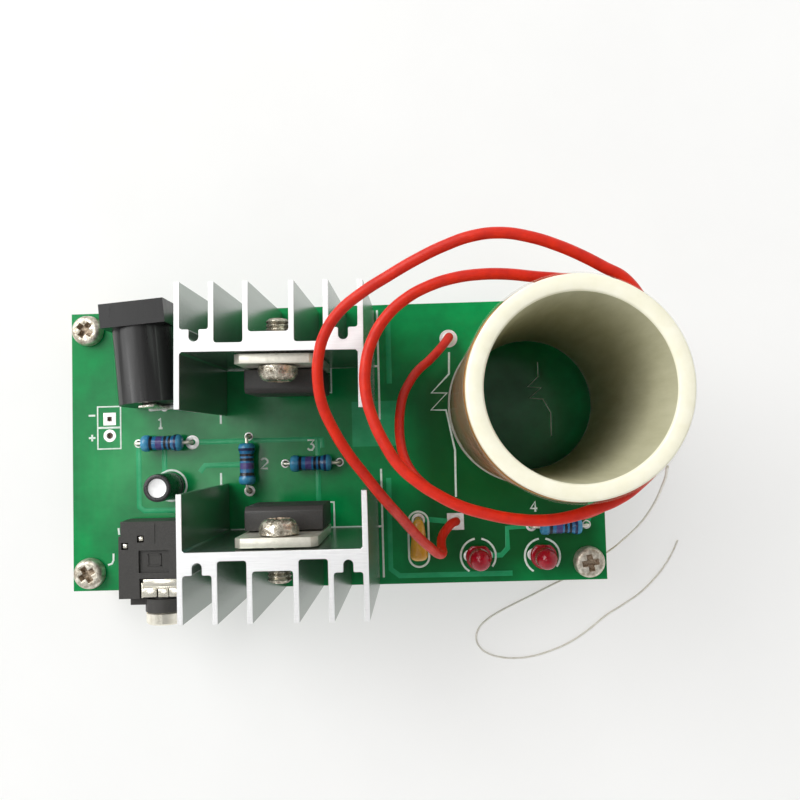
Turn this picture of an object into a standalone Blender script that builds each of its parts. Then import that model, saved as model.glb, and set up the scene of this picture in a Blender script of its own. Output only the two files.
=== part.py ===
"""Desktop resonant transformer: a driver board with two finned heatsinks, a power jack and a sound
jack, and a tall wound tube with a loose primary coil of red wire around it.

Lengths are in metres. Every piece is placed in the board's own frame, which starts at the board's
front left corner on its top face: X along the board, Y to its back edge and Z up. The empty
board_frame carries that frame, so that the part stands on Z = 0 with its middle at the origin.
"""

import math

import bmesh
import bpy
from mathutils import Matrix, Vector

# Clearances
SEAT_GAP = 0.0002  # between a piece and what it rests on
HOLE_GAP = 0.0002  # all round a lead, a pin or a shank in its hole
WRAP_GAP = 0.00005  # between the coil tube and each layer wrapped round it
OVERRUN = 0.001  # how far a cutter runs past the face that it cuts
MERGE_DISTANCE = 0.000001

# Circuit board and what it stands on
BOARD_LENGTH = 0.0800
BOARD_WIDTH = 0.0420
BOARD_THICKNESS = 0.0016
CORNER_INSET = 0.0027  # from both edges to a corner hole
STANDOFF_HEIGHT = 0.0080
STANDOFF_ACROSS_FLATS = 0.0050
LEAD_TAIL = 0.0014  # what a soldered lead shows under the board

# Pan head screws that hold the board to its standoffs
BOARD_SCREW_RADIUS = 0.00125
BOARD_SCREW_LENGTH = 0.0060
BOARD_SCREW_HEAD_RADIUS = 0.0023
BOARD_SCREW_HEAD_HEIGHT = 0.0016

# Pan head screws that hold the transistors to the heatsinks
TAB_SCREW_RADIUS = 0.0015
TAB_SCREW_LENGTH = 0.0060
TAB_SCREW_HEAD_RADIUS = 0.0025
TAB_SCREW_HEAD_HEIGHT = 0.0019

# Cross recess, as shares of its screw's head
RECESS_REACH_SHARE = 0.62
RECESS_WIDTH_SHARE = 0.26
RECESS_DEPTH_SHARE = 0.55
HEAD_CORNER_SHARE = 0.45
BOARD_SCREW_TURN_SHARES = {
    "front_left": 0.35,
    "front_right": 0.10,
    "back_left": 0.60,
    "back_right": 0.80,
}  # of a right angle

# Extruded heatsink with six fins
HEATSINK_HEIGHT = 0.0250
FIN_THICKNESS = 0.00068
FIN_PITCH = 0.0042
MIDDLE_FIN_PITCH = 0.0056
FIN_REACH = 0.0075  # from the thin web's outer face to the fin tips
SIDE_FIN_REACH = 0.0070  # from the web's inner face to the tips of the two side fins
WEB_THICKNESS = 0.0011
MIDDLE_BLOCK_THICKNESS = 0.0024
SIDE_BLOCK_THICKNESS = 0.00275
NOTCH_WIDTH = 0.0012
NOTCH_DEPTH = 0.0015
UPPER_HEATSINK_TURN_DEG = -0.8  # it was soldered in slightly askew

# Power transistor in its flat tabbed case
CASE_WIDTH = 0.0102
CASE_THICKNESS = 0.0045
CASE_HEIGHT = 0.0092
CASE_SLOPE = 0.0006
TAB_THICKNESS = 0.0012
TAB_HEIGHT = 0.0064
TAB_HOLE_RISE = 0.0036  # from the case's upper end to the tab's hole
TAB_HOLE_DROP = 0.0040  # from the heatsink's upper end to the same hole
CASE_RISE = SEAT_GAP + HEATSINK_HEIGHT - TAB_HOLE_DROP - TAB_HOLE_RISE - CASE_HEIGHT
TAB_CHAMFER = 0.0008
POWER_LEAD_PITCH = 0.00254
POWER_LEAD_WIDTH = 0.0008
POWER_LEAD_SHOULDER_WIDTH = 0.0013
POWER_LEAD_SHOULDER = 0.0030  # how far the wide stretch hangs below the case
POWER_LEAD_THICKNESS = 0.0005
POWER_LEAD_BACK = 0.0026  # from the tab's back to the middle of the leads
LEAD_SOCKET_DEPTH = 0.0010  # how deep a lead sits in its case
UPPER_TRANSISTOR_OFFSET = 0.0005  # from its heatsink's middle to its own
LOWER_TRANSISTOR_OFFSET = -0.0002

# Power jack, with its mouth at the board's back edge
POWER_JACK_LENGTH = 0.0142
POWER_JACK_WIDTH = 0.0091
POWER_JACK_HEIGHT = 0.0109
POWER_JACK_BLOCK = 0.0034  # the square block at the mouth
POWER_JACK_TURN_DEG = 4.6  # it was soldered in slightly askew
BARREL_RADIUS = 0.0043
POWER_AXIS_RISE = 0.0064
POWER_BORE_RADIUS = 0.00315
POWER_BORE_DEPTH = 0.0100
POWER_PIN_RADIUS = 0.0010
POWER_PIN_SETBACK = 0.0010  # from the mouth to the tip of the pin
REAR_PLATE_WIDTH = 0.0022
REAR_PLATE_THICKNESS = 0.0004
REAR_PLATE_HEIGHT = 0.0040
STRIP_WIDTH = 0.0020
STRIP_THICKNESS = 0.0003
SWITCH_STRIP_WIDTH = 0.0011
SLEEVE_SPRING_LENGTH = 0.0068
SLEEVE_SPRING_LIFT = 0.0006  # how far its crest stands into the bore
SLEEVE_SPRING_ROOM = 0.0018  # free depth behind it
SWITCH_LEG_OFFSET = 0.0034  # from the jack's middle to the switch strip's leg

# Bends of a contact spring, as shares of its length
LEAF_FLAT_SHARE = 0.20
LEAF_CREST_SHARE = 0.62
LEAF_FALL_SHARE = 0.80

# Sound jack, with its mouth past the board's front edge
SOUND_JACK_WIDTH = 0.0120
SOUND_JACK_LENGTH = 0.0110
SOUND_JACK_HEIGHT = 0.0054
SOUND_JACK_OVERHANG = 0.0003  # past the board's front edge
SOUND_AXIS_RISE = 0.0029
SOUND_BORE_RADIUS = 0.00180
SOUND_BORE_BACK_WALL = 0.0009
COLLAR_RADIUS = 0.0029
COLLAR_REACH = 0.0021  # from the housing's front to the collar's front
BUSH_RADIUS = 0.0028
BUSH_REACH = 0.0016  # the length of bush that shows past the collar
BUSH_SLEEVE_RADIUS = 0.0022
BUSH_SLEEVE_LENGTH = 0.0016
COLLAR_CORE_RADIUS = 0.0021  # of its neck inside the housing's front
SHELL_LENGTH = 0.0022
SHELL_WIDTH = 0.0056
SHELL_THICKNESS = 0.0003
SHELL_DROP = 0.0012
SHELL_SLOT_WIDTH = 0.0011
FRONT_STEP_REACH = 0.0012
FRONT_STEP_WIDTH = 0.0099
FRONT_STEP_HEIGHT = 0.0038
LID_RECESS_LENGTH = 0.0032
LID_RECESS_WIDTH = 0.0044
LID_RECESS_DEPTH = 0.0004
LID_RECESS_OFFSET = 0.00025  # from the housing's middle to the recess's, towards the mouth
LID_RECESS_SIDE_OFFSET = 0.0009  # the same, towards the board's left edge
SOUND_SPRING_LENGTH = 0.0044
SOUND_SPRING_HEIGHT = 0.0018
SOUND_SPRING_LIFT = 0.0004
SOUND_SPRING_ROOM = 0.0007
TIP_SPRING_ROOT = 0.0025  # from the housing's middle, with the spring running to the mouth
RING_SPRING_ROOT = 0.0016
SOUND_POST_WIDTH = 0.0006
SLEEVE_POST_PLACE_SHARES = (-0.425, 0.182)  # of the housing's width and length

# Small parts
RESISTOR_LENGTH = 0.0062
RESISTOR_RADIUS = 0.00105
RESISTOR_END_RADIUS = 0.00125
RESISTOR_END_LENGTH = 0.0014
RESISTOR_RISE = 0.0004
RESISTOR_PITCH = 0.0082
SMALL_LEAD_RADIUS = 0.00028
CAPACITOR_RADIUS = 0.0020
CAPACITOR_HEIGHT = 0.0070
CAPACITOR_SLEEVE_THICKNESS = 0.00015
CAPACITOR_LIP = 0.0005  # how far the sleeve turns in over the can's rim
CAPACITOR_LEAD_PITCH = 0.0020
FILM_CAPACITOR_LENGTH = 0.0060
FILM_CAPACITOR_THICKNESS = 0.0025
FILM_CAPACITOR_HEIGHT = 0.0046
FILM_CAPACITOR_RISE = 0.0008
FILM_CAPACITOR_PITCH = 0.0050
LAMP_RADIUS = 0.0015
LAMP_FLANGE_RADIUS = 0.0019
LAMP_FLANGE_HEIGHT = 0.0010
LAMP_HEIGHT = 0.0053
LAMP_RISE = 0.0013
LAMP_LEAD_PITCH = 0.00254
LAMP_LEAD_WIDTH = 0.0005
FILM_CROWN_SHARE = 0.6  # of its half thickness

# Wound tube
TUBE_RADIUS = 0.01140
TUBE_BORE_RADIUS = 0.00962
TUBE_HEIGHT = 0.0417
GLUE_THICKNESS = 0.0003
GLUE_BEAD = 0.0004  # how far the glue stands out past the tube
WINDING_THICKNESS = 0.00013
WINDING_START = 0.0025  # above the tube's lower end
WINDING_LENGTH = 0.0372
FILM_THICKNESS = 0.0001
FILM_OVERLAP = 0.0010  # how far the film runs past the winding at each end
LOW_LEAD_SHARE = 0.5  # how far the winding's lower lead runs level on its way to its pad

# Wires
RED_WIRE_DIAMETER = 0.0013
FINE_WIRE_DIAMETER = 0.0003

# Places on the board: shares of its length and of its width, from its front left corner
UPPER_HEATSINK_PLACE_SHARE = 0.7776  # of the width, as the next one
LOWER_HEATSINK_PLACE_SHARE = 0.2048
HEATSINK_ROOM_SHARE = 0.1675  # of the free room between the sound jack and the coil tube
POWER_JACK_PLACE_SHARES = (0.1690, 0.8270)
SOUND_JACK_PLACE_SHARE = 0.1865
RESISTOR_PLACE_SHARES = {
    "resistor_1": (0.1775, 0.5226, 0.0),
    "resistor_2": (0.3364, 0.4405, 0.5),
    "resistor_3": (0.4560, 0.4370, 0.0),
    "resistor_4": (0.9140, 0.1940, 0.0),
}  # the third share is of a half turn
CAPACITOR_PLACE_SHARES = (0.1880, 0.3690)
FILM_CAPACITOR_ROOM_SHARE = 0.4626  # of the room between a heatsink and the first lamp
FILM_CAPACITOR_PLACE_SHARE = 0.1640  # of the width
LAMP_PLACE_SHARES = {"lamp_1": (0.7620, 0.0930), "lamp_2": (0.8806, 0.0920)}
TUBE_PLACE_SHARES = (0.8612, 0.6238)
HEADER_PLACE_SHARES = (0.0712, 0.5845)
RED_PAD_PLACE_SHARES = ((0.7188, 0.8705), (0.7219, 0.2155))
FINE_PAD_PLACE_SHARES = (0.9780, 0.3650)

# Holes of the board
HEADER_PITCH = 0.00254
HEADER_HOLE_RADIUS = 0.0005
WIRE_PAD_HOLE_RADIUS = 0.0005

# Routes, in the board's frame, chosen by hand
RED_WIRE_ROUTE = (
    (0.05750, 0.03656, 0.00030),
    (0.05750, 0.03656, 0.00170),
    (0.05672, 0.03541, 0.00300),
    (0.05457, 0.03302, 0.00460),
    (0.05263, 0.03121, 0.00600),
    (0.05138, 0.02935, 0.00730),
    (0.05057, 0.02760, 0.00850),
    (0.05016, 0.02560, 0.00970),
    (0.05000, 0.02336, 0.01100),
    (0.05014, 0.02116, 0.01260),
    (0.05059, 0.01916, 0.01430),
    (0.05150, 0.01735, 0.01620),
    (0.05301, 0.01573, 0.01820),
    (0.05509, 0.01428, 0.02020),
    (0.05796, 0.01292, 0.02200),
    (0.06101, 0.01212, 0.02340),
    (0.06423, 0.01157, 0.02460),
    (0.06742, 0.01151, 0.02560),
    (0.07033, 0.01195, 0.02650),
    (0.07301, 0.01274, 0.02720),
    (0.07831, 0.01611, 0.02780),
    (0.08095, 0.02058, 0.02850),
    (0.08180, 0.02620, 0.02920),
    (0.08050, 0.03161, 0.03000),
    (0.07713, 0.03601, 0.03090),
    (0.07289, 0.03847, 0.03170),
    (0.06890, 0.03895, 0.03230),
    (0.06622, 0.03918, 0.03260),
    (0.06288, 0.03956, 0.03280),
    (0.05975, 0.03957, 0.03300),
    (0.05707, 0.03926, 0.03300),
    (0.05438, 0.03850, 0.03300),
    (0.05167, 0.03713, 0.03300),
    (0.04939, 0.03513, 0.03300),
    (0.04777, 0.03255, 0.03300),
    (0.04697, 0.02973, 0.03300),
    (0.04695, 0.02662, 0.03300),
    (0.04771, 0.02366, 0.03310),
    (0.04886, 0.02109, 0.03320),
    (0.05040, 0.01863, 0.03330),
    (0.05233, 0.01683, 0.03340),
    (0.05447, 0.01536, 0.03340),
    (0.05695, 0.01405, 0.03340),
    (0.05975, 0.01314, 0.03340),
    (0.06278, 0.01249, 0.03340),
    (0.06592, 0.01226, 0.03340),
    (0.06886, 0.01258, 0.03340),
    (0.07160, 0.01338, 0.03340),
    (0.07391, 0.01424, 0.03340),
    (0.07616, 0.01567, 0.03330),
    (0.07927, 0.01894, 0.03320),
    (0.08111, 0.02293, 0.03320),
    (0.08147, 0.02752, 0.03320),
    (0.08018, 0.03195, 0.03330),
    (0.07790, 0.03552, 0.03360),
    (0.07561, 0.03847, 0.03400),
    (0.07343, 0.03971, 0.03420),
    (0.07126, 0.04088, 0.03440),
    (0.06844, 0.04216, 0.03460),
    (0.06542, 0.04319, 0.03470),
    (0.06218, 0.04378, 0.03460),
    (0.05912, 0.04357, 0.03440),
    (0.05626, 0.04276, 0.03400),
    (0.05313, 0.04147, 0.03350),
    (0.04972, 0.03980, 0.03260),
    (0.04646, 0.03805, 0.03160),
    (0.04390, 0.03615, 0.03080),
    (0.04224, 0.03392, 0.03020),
    (0.04138, 0.03134, 0.02980),
    (0.04118, 0.02860, 0.02940),
    (0.04155, 0.02584, 0.02890),
    (0.04259, 0.02315, 0.02830),
    (0.04420, 0.02019, 0.02750),
    (0.04604, 0.01752, 0.02630),
    (0.04812, 0.01455, 0.02420),
    (0.05013, 0.01174, 0.02040),
    (0.05204, 0.00895, 0.01600),
    (0.05372, 0.00691, 0.01240),
    (0.05498, 0.00560, 0.00960),
    (0.05550, 0.00551, 0.00760),
    (0.05541, 0.00633, 0.00570),
    (0.05556, 0.00729, 0.00430),
    (0.05625, 0.00822, 0.00310),
    (0.05713, 0.00903, 0.00230),
    (0.05772, 0.00916, 0.00140),
    (0.05775, 0.00905, 0.00030),
)
FINE_WIRE_ROUTE = (
    (0.07777, 0.01800, 0.03960),
    (0.07865, 0.01686, 0.03600),
    (0.07963, 0.01539, 0.03100),
    (0.08066, 0.01354, 0.02500),
    (0.08163, 0.01143, 0.01800),
    (0.08247, 0.00926, 0.01050),
    (0.08298, 0.00725, 0.00350),
    (0.08310, 0.00524, -0.00300),
    (0.08242, 0.00328, -0.00760),
    (0.08038, 0.00150, -0.00940),
    (0.07782, -0.00030, -0.00965),
    (0.07538, -0.00144, -0.00965),
    (0.07303, -0.00249, -0.00965),
    (0.06986, -0.00401, -0.00965),
    (0.06705, -0.00529, -0.00965),
    (0.06458, -0.00651, -0.00965),
    (0.06270, -0.00765, -0.00965),
    (0.06129, -0.00913, -0.00965),
    (0.06089, -0.01062, -0.00965),
    (0.06152, -0.01214, -0.00965),
    (0.06292, -0.01311, -0.00965),
    (0.06499, -0.01369, -0.00965),
    (0.06728, -0.01383, -0.00965),
    (0.06968, -0.01360, -0.00965),
    (0.07273, -0.01277, -0.00965),
    (0.07564, -0.01158, -0.00965),
    (0.07873, -0.00966, -0.00965),
    (0.08165, -0.00744, -0.00965),
    (0.08445, -0.00576, -0.00965),
    (0.08706, -0.00408, -0.00965),
    (0.08945, -0.00192, -0.00965),
    (0.09137, 0.00034, -0.00965),
    (0.09265, 0.00237, -0.00965),
    (0.09356, 0.00425, -0.00965),
)

# How finely round pieces are divided
TUBE_STEPS = 56
TURNED_STEPS = 20
SMALL_STEPS = 12
HOLE_STEPS = 8
BARREL_STEPS = 10
FILM_STEPS = 6
DOME_STEPS = 4
ROUTE_STEPS = 10
RED_WIRE_POINTS = 88
FINE_WIRE_POINTS = 76

# Colours of the finishes, as sRGB hex values, with their roughness and metallic value
FINISHES = {
    "green_board": ("1a7a48", 0.35, 0.0),
    "nickel": ("c9c6bf", 0.30, 1.0),
    "brass": ("c8a85a", 0.35, 1.0),
    "cut_aluminium": ("d9dadb", 0.38, 1.0),
    "tinned_copper": ("c4c2be", 0.35, 1.0),
    "black_epoxy": ("2a272a", 0.55, 0.0),
    "black_plastic": ("1c1a1c", 0.45, 0.0),
    "grey_plastic": ("3d3a3e", 0.50, 0.0),
    "blue_lacquer": ("2f62a8", 0.35, 0.0),
    "black_sleeve": ("141316", 0.40, 0.0),
    "bright_can": ("e6e6e6", 0.30, 1.0),
    "mustard_dip": ("b98a2a", 0.40, 0.0),
    "red_epoxy": ("c01228", 0.20, 0.0),
    "ivory_plastic": ("eeebd6", 0.40, 0.0),
    "copper_enamel": ("8a4a1e", 0.35, 0.6),
    "clear_film": ("e6e2d2", 0.15, 0.0),
    "clear_glue": ("e8e4d8", 0.30, 0.0),
    "red_insulation": ("d8301c", 0.38, 0.0),
}


def on_board(shares):
    """The place on the board that a pair of shares of its length and width names."""
    return Vector((shares[0] * BOARD_LENGTH, shares[1] * BOARD_WIDTH, 0))


def linear(channel):
    """One sRGB channel from 0 to 1 as linear light."""
    if channel <= 0.04045:
        return channel / 12.92
    return ((channel + 0.055) / 1.055) ** 2.4


def finish(name):
    """The material of one finish, made when it is first asked for."""
    known = bpy.data.materials.get(name)
    if known:
        return known
    hex_colour, roughness, metallic = FINISHES[name]
    channels = [int(hex_colour[i : i + 2], 16) / 255 for i in (0, 2, 4)]
    made = bpy.data.materials.new(name)
    made.use_nodes = True
    shader = made.node_tree.nodes["Principled BSDF"]
    shader.inputs["Base Color"].default_value = (*map(linear, channels), 1)
    shader.inputs["Roughness"].default_value = roughness
    shader.inputs["Metallic"].default_value = metallic
    return made


def carrier(name, place, turn=0, parent=None):
    """An empty that carries the pieces of one group."""
    empty = bpy.data.objects.new(name, None)
    empty.location = place
    empty.rotation_euler = (0, 0, turn)
    empty.parent = parent
    bpy.context.scene.collection.objects.link(empty)
    return empty


def piece(name, shape, look, parent, place=(0, 0, 0), turn=(0, 0, 0)):
    """One named solid from a bmesh, with its finish, placed in its parent's frame."""
    bmesh.ops.recalc_face_normals(shape, faces=shape.faces)
    mesh = bpy.data.meshes.new(name)
    shape.to_mesh(mesh)
    shape.free()
    mesh.shade_smooth()
    mesh.set_sharp_from_angle(angle=math.radians(40))
    mesh.materials.append(finish(look))
    made = bpy.data.objects.new(name, mesh)
    made.location = place
    made.rotation_euler = turn
    made.parent = parent
    bpy.context.scene.collection.objects.link(made)
    return made


def guide(name, shape, parent, place=(0, 0, 0), turn=(0, 0, 0)):
    """A solid that only cuts or joins, and isn't part of the object."""
    made = piece(name, shape, "nickel", parent, place, turn)
    made.hide_render = True
    made.display_type = "WIRE"
    return made


def cut(target, cutter):
    modifier = target.modifiers.new("cut", "BOOLEAN")
    modifier.operation = "DIFFERENCE"
    modifier.object = cutter


def join(target, addition):
    modifier = target.modifiers.new("join", "BOOLEAN")
    modifier.operation = "UNION"
    modifier.object = addition


def boxes(*corners):
    """Boxes that don't touch each other, each given by its lowest and highest corner."""
    shape = bmesh.new()
    for low, high in corners:
        size = Vector(high) - Vector(low)
        matrix = Matrix.Translation((Vector(low) + Vector(high)) / 2)
        matrix = matrix @ Matrix.Diagonal((*size, 1))
        bmesh.ops.create_cube(shape, size=1, matrix=matrix)
    return shape


def rods(ends, radius, steps, axis="Z"):
    """Round rods along one axis, each given by its lower end and its length."""
    turns = {"Z": Matrix(), "Y": Matrix.Rotation(-math.pi / 2, 4, "X")}
    turns["X"] = Matrix.Rotation(math.pi / 2, 4, "Y")
    shape = bmesh.new()
    for place, length in ends:
        matrix = Matrix.Translation(place) @ turns[axis] @ Matrix.Translation((0, 0, length / 2))
        bmesh.ops.create_cone(
            shape,
            cap_ends=True,
            segments=steps,
            radius1=radius,
            radius2=radius,
            depth=length,
            matrix=matrix,
        )
    return shape


def pull_up(shape, faces, height):
    """Makes a solid of flat faces by pulling a copy of them up."""
    pulled = bmesh.ops.extrude_face_region(shape, geom=faces)
    lifted = [item for item in pulled["geom"] if isinstance(item, bmesh.types.BMVert)]
    bmesh.ops.translate(shape, vec=(0, 0, height), verts=lifted)


def outline(points, height, turn=None):
    """A flat outline pulled up by a height, then turned as a whole."""
    shape = bmesh.new()
    face = shape.faces.new([shape.verts.new((x, y, 0)) for x, y in points])
    pull_up(shape, [face], height)
    if turn:
        bmesh.ops.transform(shape, matrix=turn, verts=shape.verts)
    return shape


def turned(profile, steps, turn=None):
    """A profile of radius and height turned all round the Z axis."""
    shape = bmesh.new()
    row = [shape.verts.new((radius, 0, height)) for radius, height in profile]
    after = row[1:] + row[:1] if profile[0][0] > 0 else row[1:]
    edges = [shape.edges.new(pair) for pair in zip(row, after)]
    bmesh.ops.spin(
        shape,
        geom=row + edges,
        axis=(0, 0, 1),
        cent=(0, 0, 0),
        angle=2 * math.pi,
        steps=steps,
        use_merge=True,
    )
    bmesh.ops.remove_doubles(shape, verts=shape.verts, dist=MERGE_DISTANCE)
    bmesh.ops.dissolve_degenerate(shape, edges=shape.edges, dist=MERGE_DISTANCE)
    if turn:
        bmesh.ops.transform(shape, matrix=turn, verts=shape.verts)
    return shape


def sideways(offset):
    """Turns an outline so that its X runs along Y, its Y up, and its height along X."""
    return Matrix(((0, 0, 1, offset), (1, 0, 0, 0), (0, 1, 0, 0), (0, 0, 0, 1)))


def arc(centre, radius, start, end, steps):
    """Points on an arc, from one angle to another."""
    angles = [start + (end - start) * step / steps for step in range(steps + 1)]
    return [
        (centre[0] + radius * math.cos(angle), centre[1] + radius * math.sin(angle))
        for angle in angles
    ]


def smooth_route(points, count):
    """Evenly spaced points on one smooth curve through the given points."""
    route = [Vector(point) for point in points]
    route = [2 * route[0] - route[1], *route, 2 * route[-1] - route[-2]]
    fine = []
    for before, start, end, after in zip(route, route[1:], route[2:], route[3:]):
        for step in range(ROUTE_STEPS):
            t = step / ROUTE_STEPS
            fine.append(
                start
                + (end - before) * (t / 2)
                + (2 * before - 5 * start + 4 * end - after) * (t * t / 2)
                + (3 * start - before - 3 * end + after) * (t * t * t / 2)
            )
    fine.append(route[-2])
    lengths = [0]
    for start, end in zip(fine, fine[1:]):
        lengths.append(lengths[-1] + (end - start).length)
    spaced = []
    at = 0
    for number in range(count):
        wanted = lengths[-1] * number / (count - 1)
        while at < len(fine) - 2 and lengths[at + 1] < wanted:
            at += 1
        span = max(lengths[at + 1] - lengths[at], MERGE_DISTANCE)
        spaced.append(fine[at].lerp(fine[at + 1], (wanted - lengths[at]) / span))
    return spaced


def wire(name, points, diameter, resolution, look, parent):
    """A wire along the given points, as one unbroken tube."""
    curve = bpy.data.curves.new(name, "CURVE")
    curve.dimensions = "3D"
    curve.bevel_depth = diameter / 2
    curve.bevel_resolution = resolution
    curve.use_fill_caps = True
    spline = curve.splines.new("POLY")
    spline.points.add(len(points) - 1)
    for control, point in zip(spline.points, points):
        control.co = (*point, 1)
    curve.materials.append(finish(look))
    made = bpy.data.objects.new(name, curve)
    made.parent = parent
    bpy.context.scene.collection.objects.link(made)
    return made


def least_gap(points, diameter):
    """The least clear gap between stretches of one wire that aren't neighbours along it."""
    length = sum((b - a).length for a, b in zip(points, points[1:]))
    spacing = length / (len(points) - 1)
    apart = math.ceil(6 * diameter / spacing)
    nearest = min(
        (a - b).length
        for number, a in enumerate(points)
        for b in points[number + apart :]
    )
    return nearest - diameter


def pan_head_screw(name, radius, length, head_radius, head_height, parent, place, turn=(0, 0, 0)):
    """A screw whose head stands on Z = 0, with its shank below and a cross recess on top."""
    corner = head_height * HEAD_CORNER_SHARE
    rim = head_height - corner
    dome = [
        (head_radius - corner + corner * math.cos(angle), rim + corner * math.sin(angle))
        for angle in (0, math.pi / 4, math.pi / 2)
    ]
    profile = [(0, -length), (radius, -length), (radius, 0), (head_radius, 0), *dome, (0, head_height)]
    screw = piece(name, turned(profile, TURNED_STEPS), "nickel", parent, place, turn)
    reach = head_radius * RECESS_REACH_SHARE
    half = head_radius * RECESS_WIDTH_SHARE / 2
    floor = head_height * (1 - RECESS_DEPTH_SHARE)
    cross = [
        (reach, -half),
        (reach, half),
        (half, half),
        (half, reach),
        (-half, reach),
        (-half, half),
        (-reach, half),
        (-reach, -half),
        (-half, -half),
        (-half, -reach),
        (half, -reach),
        (half, -half),
    ]
    lift = Matrix.Translation((0, 0, floor))
    recess = outline(cross, head_height - floor + OVERRUN, lift)
    cut(screw, guide(name + "_recess", recess, parent, place, turn))
    return screw


def corner_places():
    """The four corner holes, by name."""
    right = BOARD_LENGTH - CORNER_INSET
    back = BOARD_WIDTH - CORNER_INSET
    return {
        "front_left": (CORNER_INSET, CORNER_INSET),
        "front_right": (right, CORNER_INSET),
        "back_left": (CORNER_INSET, back),
        "back_right": (right, back),
    }


def make_stand(frame):
    """Four hexagonal standoffs under the board, each with the screw that goes down into it."""
    hole_radius = BOARD_SCREW_RADIUS + HOLE_GAP
    low = -(BOARD_THICKNESS + SEAT_GAP + STANDOFF_HEIGHT)
    corner_radius = STANDOFF_ACROSS_FLATS / math.sqrt(3)
    for name, (x, y) in corner_places().items():
        hexagon = rods([((x, y, low), STANDOFF_HEIGHT)], corner_radius, 6)
        standoff = piece("standoff_" + name, hexagon, "brass", frame)
        bore = rods([((x, y, low - OVERRUN), STANDOFF_HEIGHT + 2 * OVERRUN)], hole_radius, SMALL_STEPS)
        cut(standoff, guide("standoff_bore_" + name, bore, frame))
        pan_head_screw(
            "board_screw_" + name,
            BOARD_SCREW_RADIUS,
            BOARD_SCREW_LENGTH,
            BOARD_SCREW_HEAD_RADIUS,
            BOARD_SCREW_HEAD_HEIGHT,
            frame,
            (x, y, SEAT_GAP),
            (0, 0, math.pi / 2 * BOARD_SCREW_TURN_SHARES[name]),
        )


def make_board(frame, lead_places):
    """The glass-fibre board, with a hole for each corner screw and each soldered lead."""
    loops = [[(0, 0), (BOARD_LENGTH, 0), (BOARD_LENGTH, BOARD_WIDTH), (0, BOARD_WIDTH)]]
    screw_hole = BOARD_SCREW_RADIUS + HOLE_GAP
    for place in corner_places().values():
        loops.append(arc(place, screw_hole, 0, 2 * math.pi, TURNED_STEPS)[1:])
    for place, radius in lead_places:
        loops.append(arc(place, radius, 0, 2 * math.pi, HOLE_STEPS)[1:])
    shape = bmesh.new()
    for loop in loops:
        verts = [shape.verts.new((x, y, -BOARD_THICKNESS)) for x, y in loop]
        for pair in zip(verts, verts[1:] + verts[:1]):
            shape.edges.new(pair)
    bmesh.ops.triangle_fill(shape, use_beauty=True, edges=shape.edges)
    pull_up(shape, shape.faces[:], BOARD_THICKNESS)
    piece("circuit_board", shape, "green_board", frame)


def heatsink_width():
    """The heatsink's size along the board."""
    return MIDDLE_FIN_PITCH + 4 * FIN_PITCH + FIN_THICKNESS


def heatsink_start():
    """Where both heatsinks start along the board, between the sound jack and the coil tube."""
    jack_end = SOUND_JACK_PLACE_SHARE * BOARD_LENGTH + SOUND_JACK_WIDTH / 2
    tube_start = TUBE_PLACE_SHARES[0] * BOARD_LENGTH - TUBE_RADIUS
    room = tube_start - jack_end - heatsink_width()
    return jack_end + room * HEATSINK_ROOM_SHARE


def heatsink_outline():
    """The extruded section: web along X with its inner face at Y = 0, fins to +Y, sides to -Y."""
    half = FIN_THICKNESS / 2
    tip = WEB_THICKNESS + FIN_REACH
    inner = MIDDLE_FIN_PITCH / 2
    centres = [inner, inner + FIN_PITCH, inner + 2 * FIN_PITCH]
    centres = [-x for x in reversed(centres)] + centres
    floors = [SIDE_BLOCK_THICKNESS, WEB_THICKNESS, MIDDLE_BLOCK_THICKNESS]
    floors += [WEB_THICKNESS, SIDE_BLOCK_THICKNESS]
    points = [(centres[0] - half, -SIDE_FIN_REACH)]
    for number, x in enumerate(centres):
        points += [(x - half, tip), (x + half, tip)]
        if number == len(floors):
            break
        floor = floors[number]
        after = centres[number + 1] - half
        points.append((x + half, floor))
        if floor == SIDE_BLOCK_THICKNESS:
            middle = (x + half + after) / 2
            centre = (middle, floor - NOTCH_DEPTH + NOTCH_WIDTH / 2)
            points.append((middle - NOTCH_WIDTH / 2, floor))
            points += arc(centre, NOTCH_WIDTH / 2, math.pi, 2 * math.pi, 4)
            points.append((middle + NOTCH_WIDTH / 2, floor))
        points.append((after, floor))
    points.append((centres[-1] + half, -SIDE_FIN_REACH))
    points.append((centres[-1] - half, -SIDE_FIN_REACH))
    points += [(centres[-1] - half, 0), (centres[0] + half, 0)]
    points.append((centres[0] + half, -SIDE_FIN_REACH))
    return points


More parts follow.
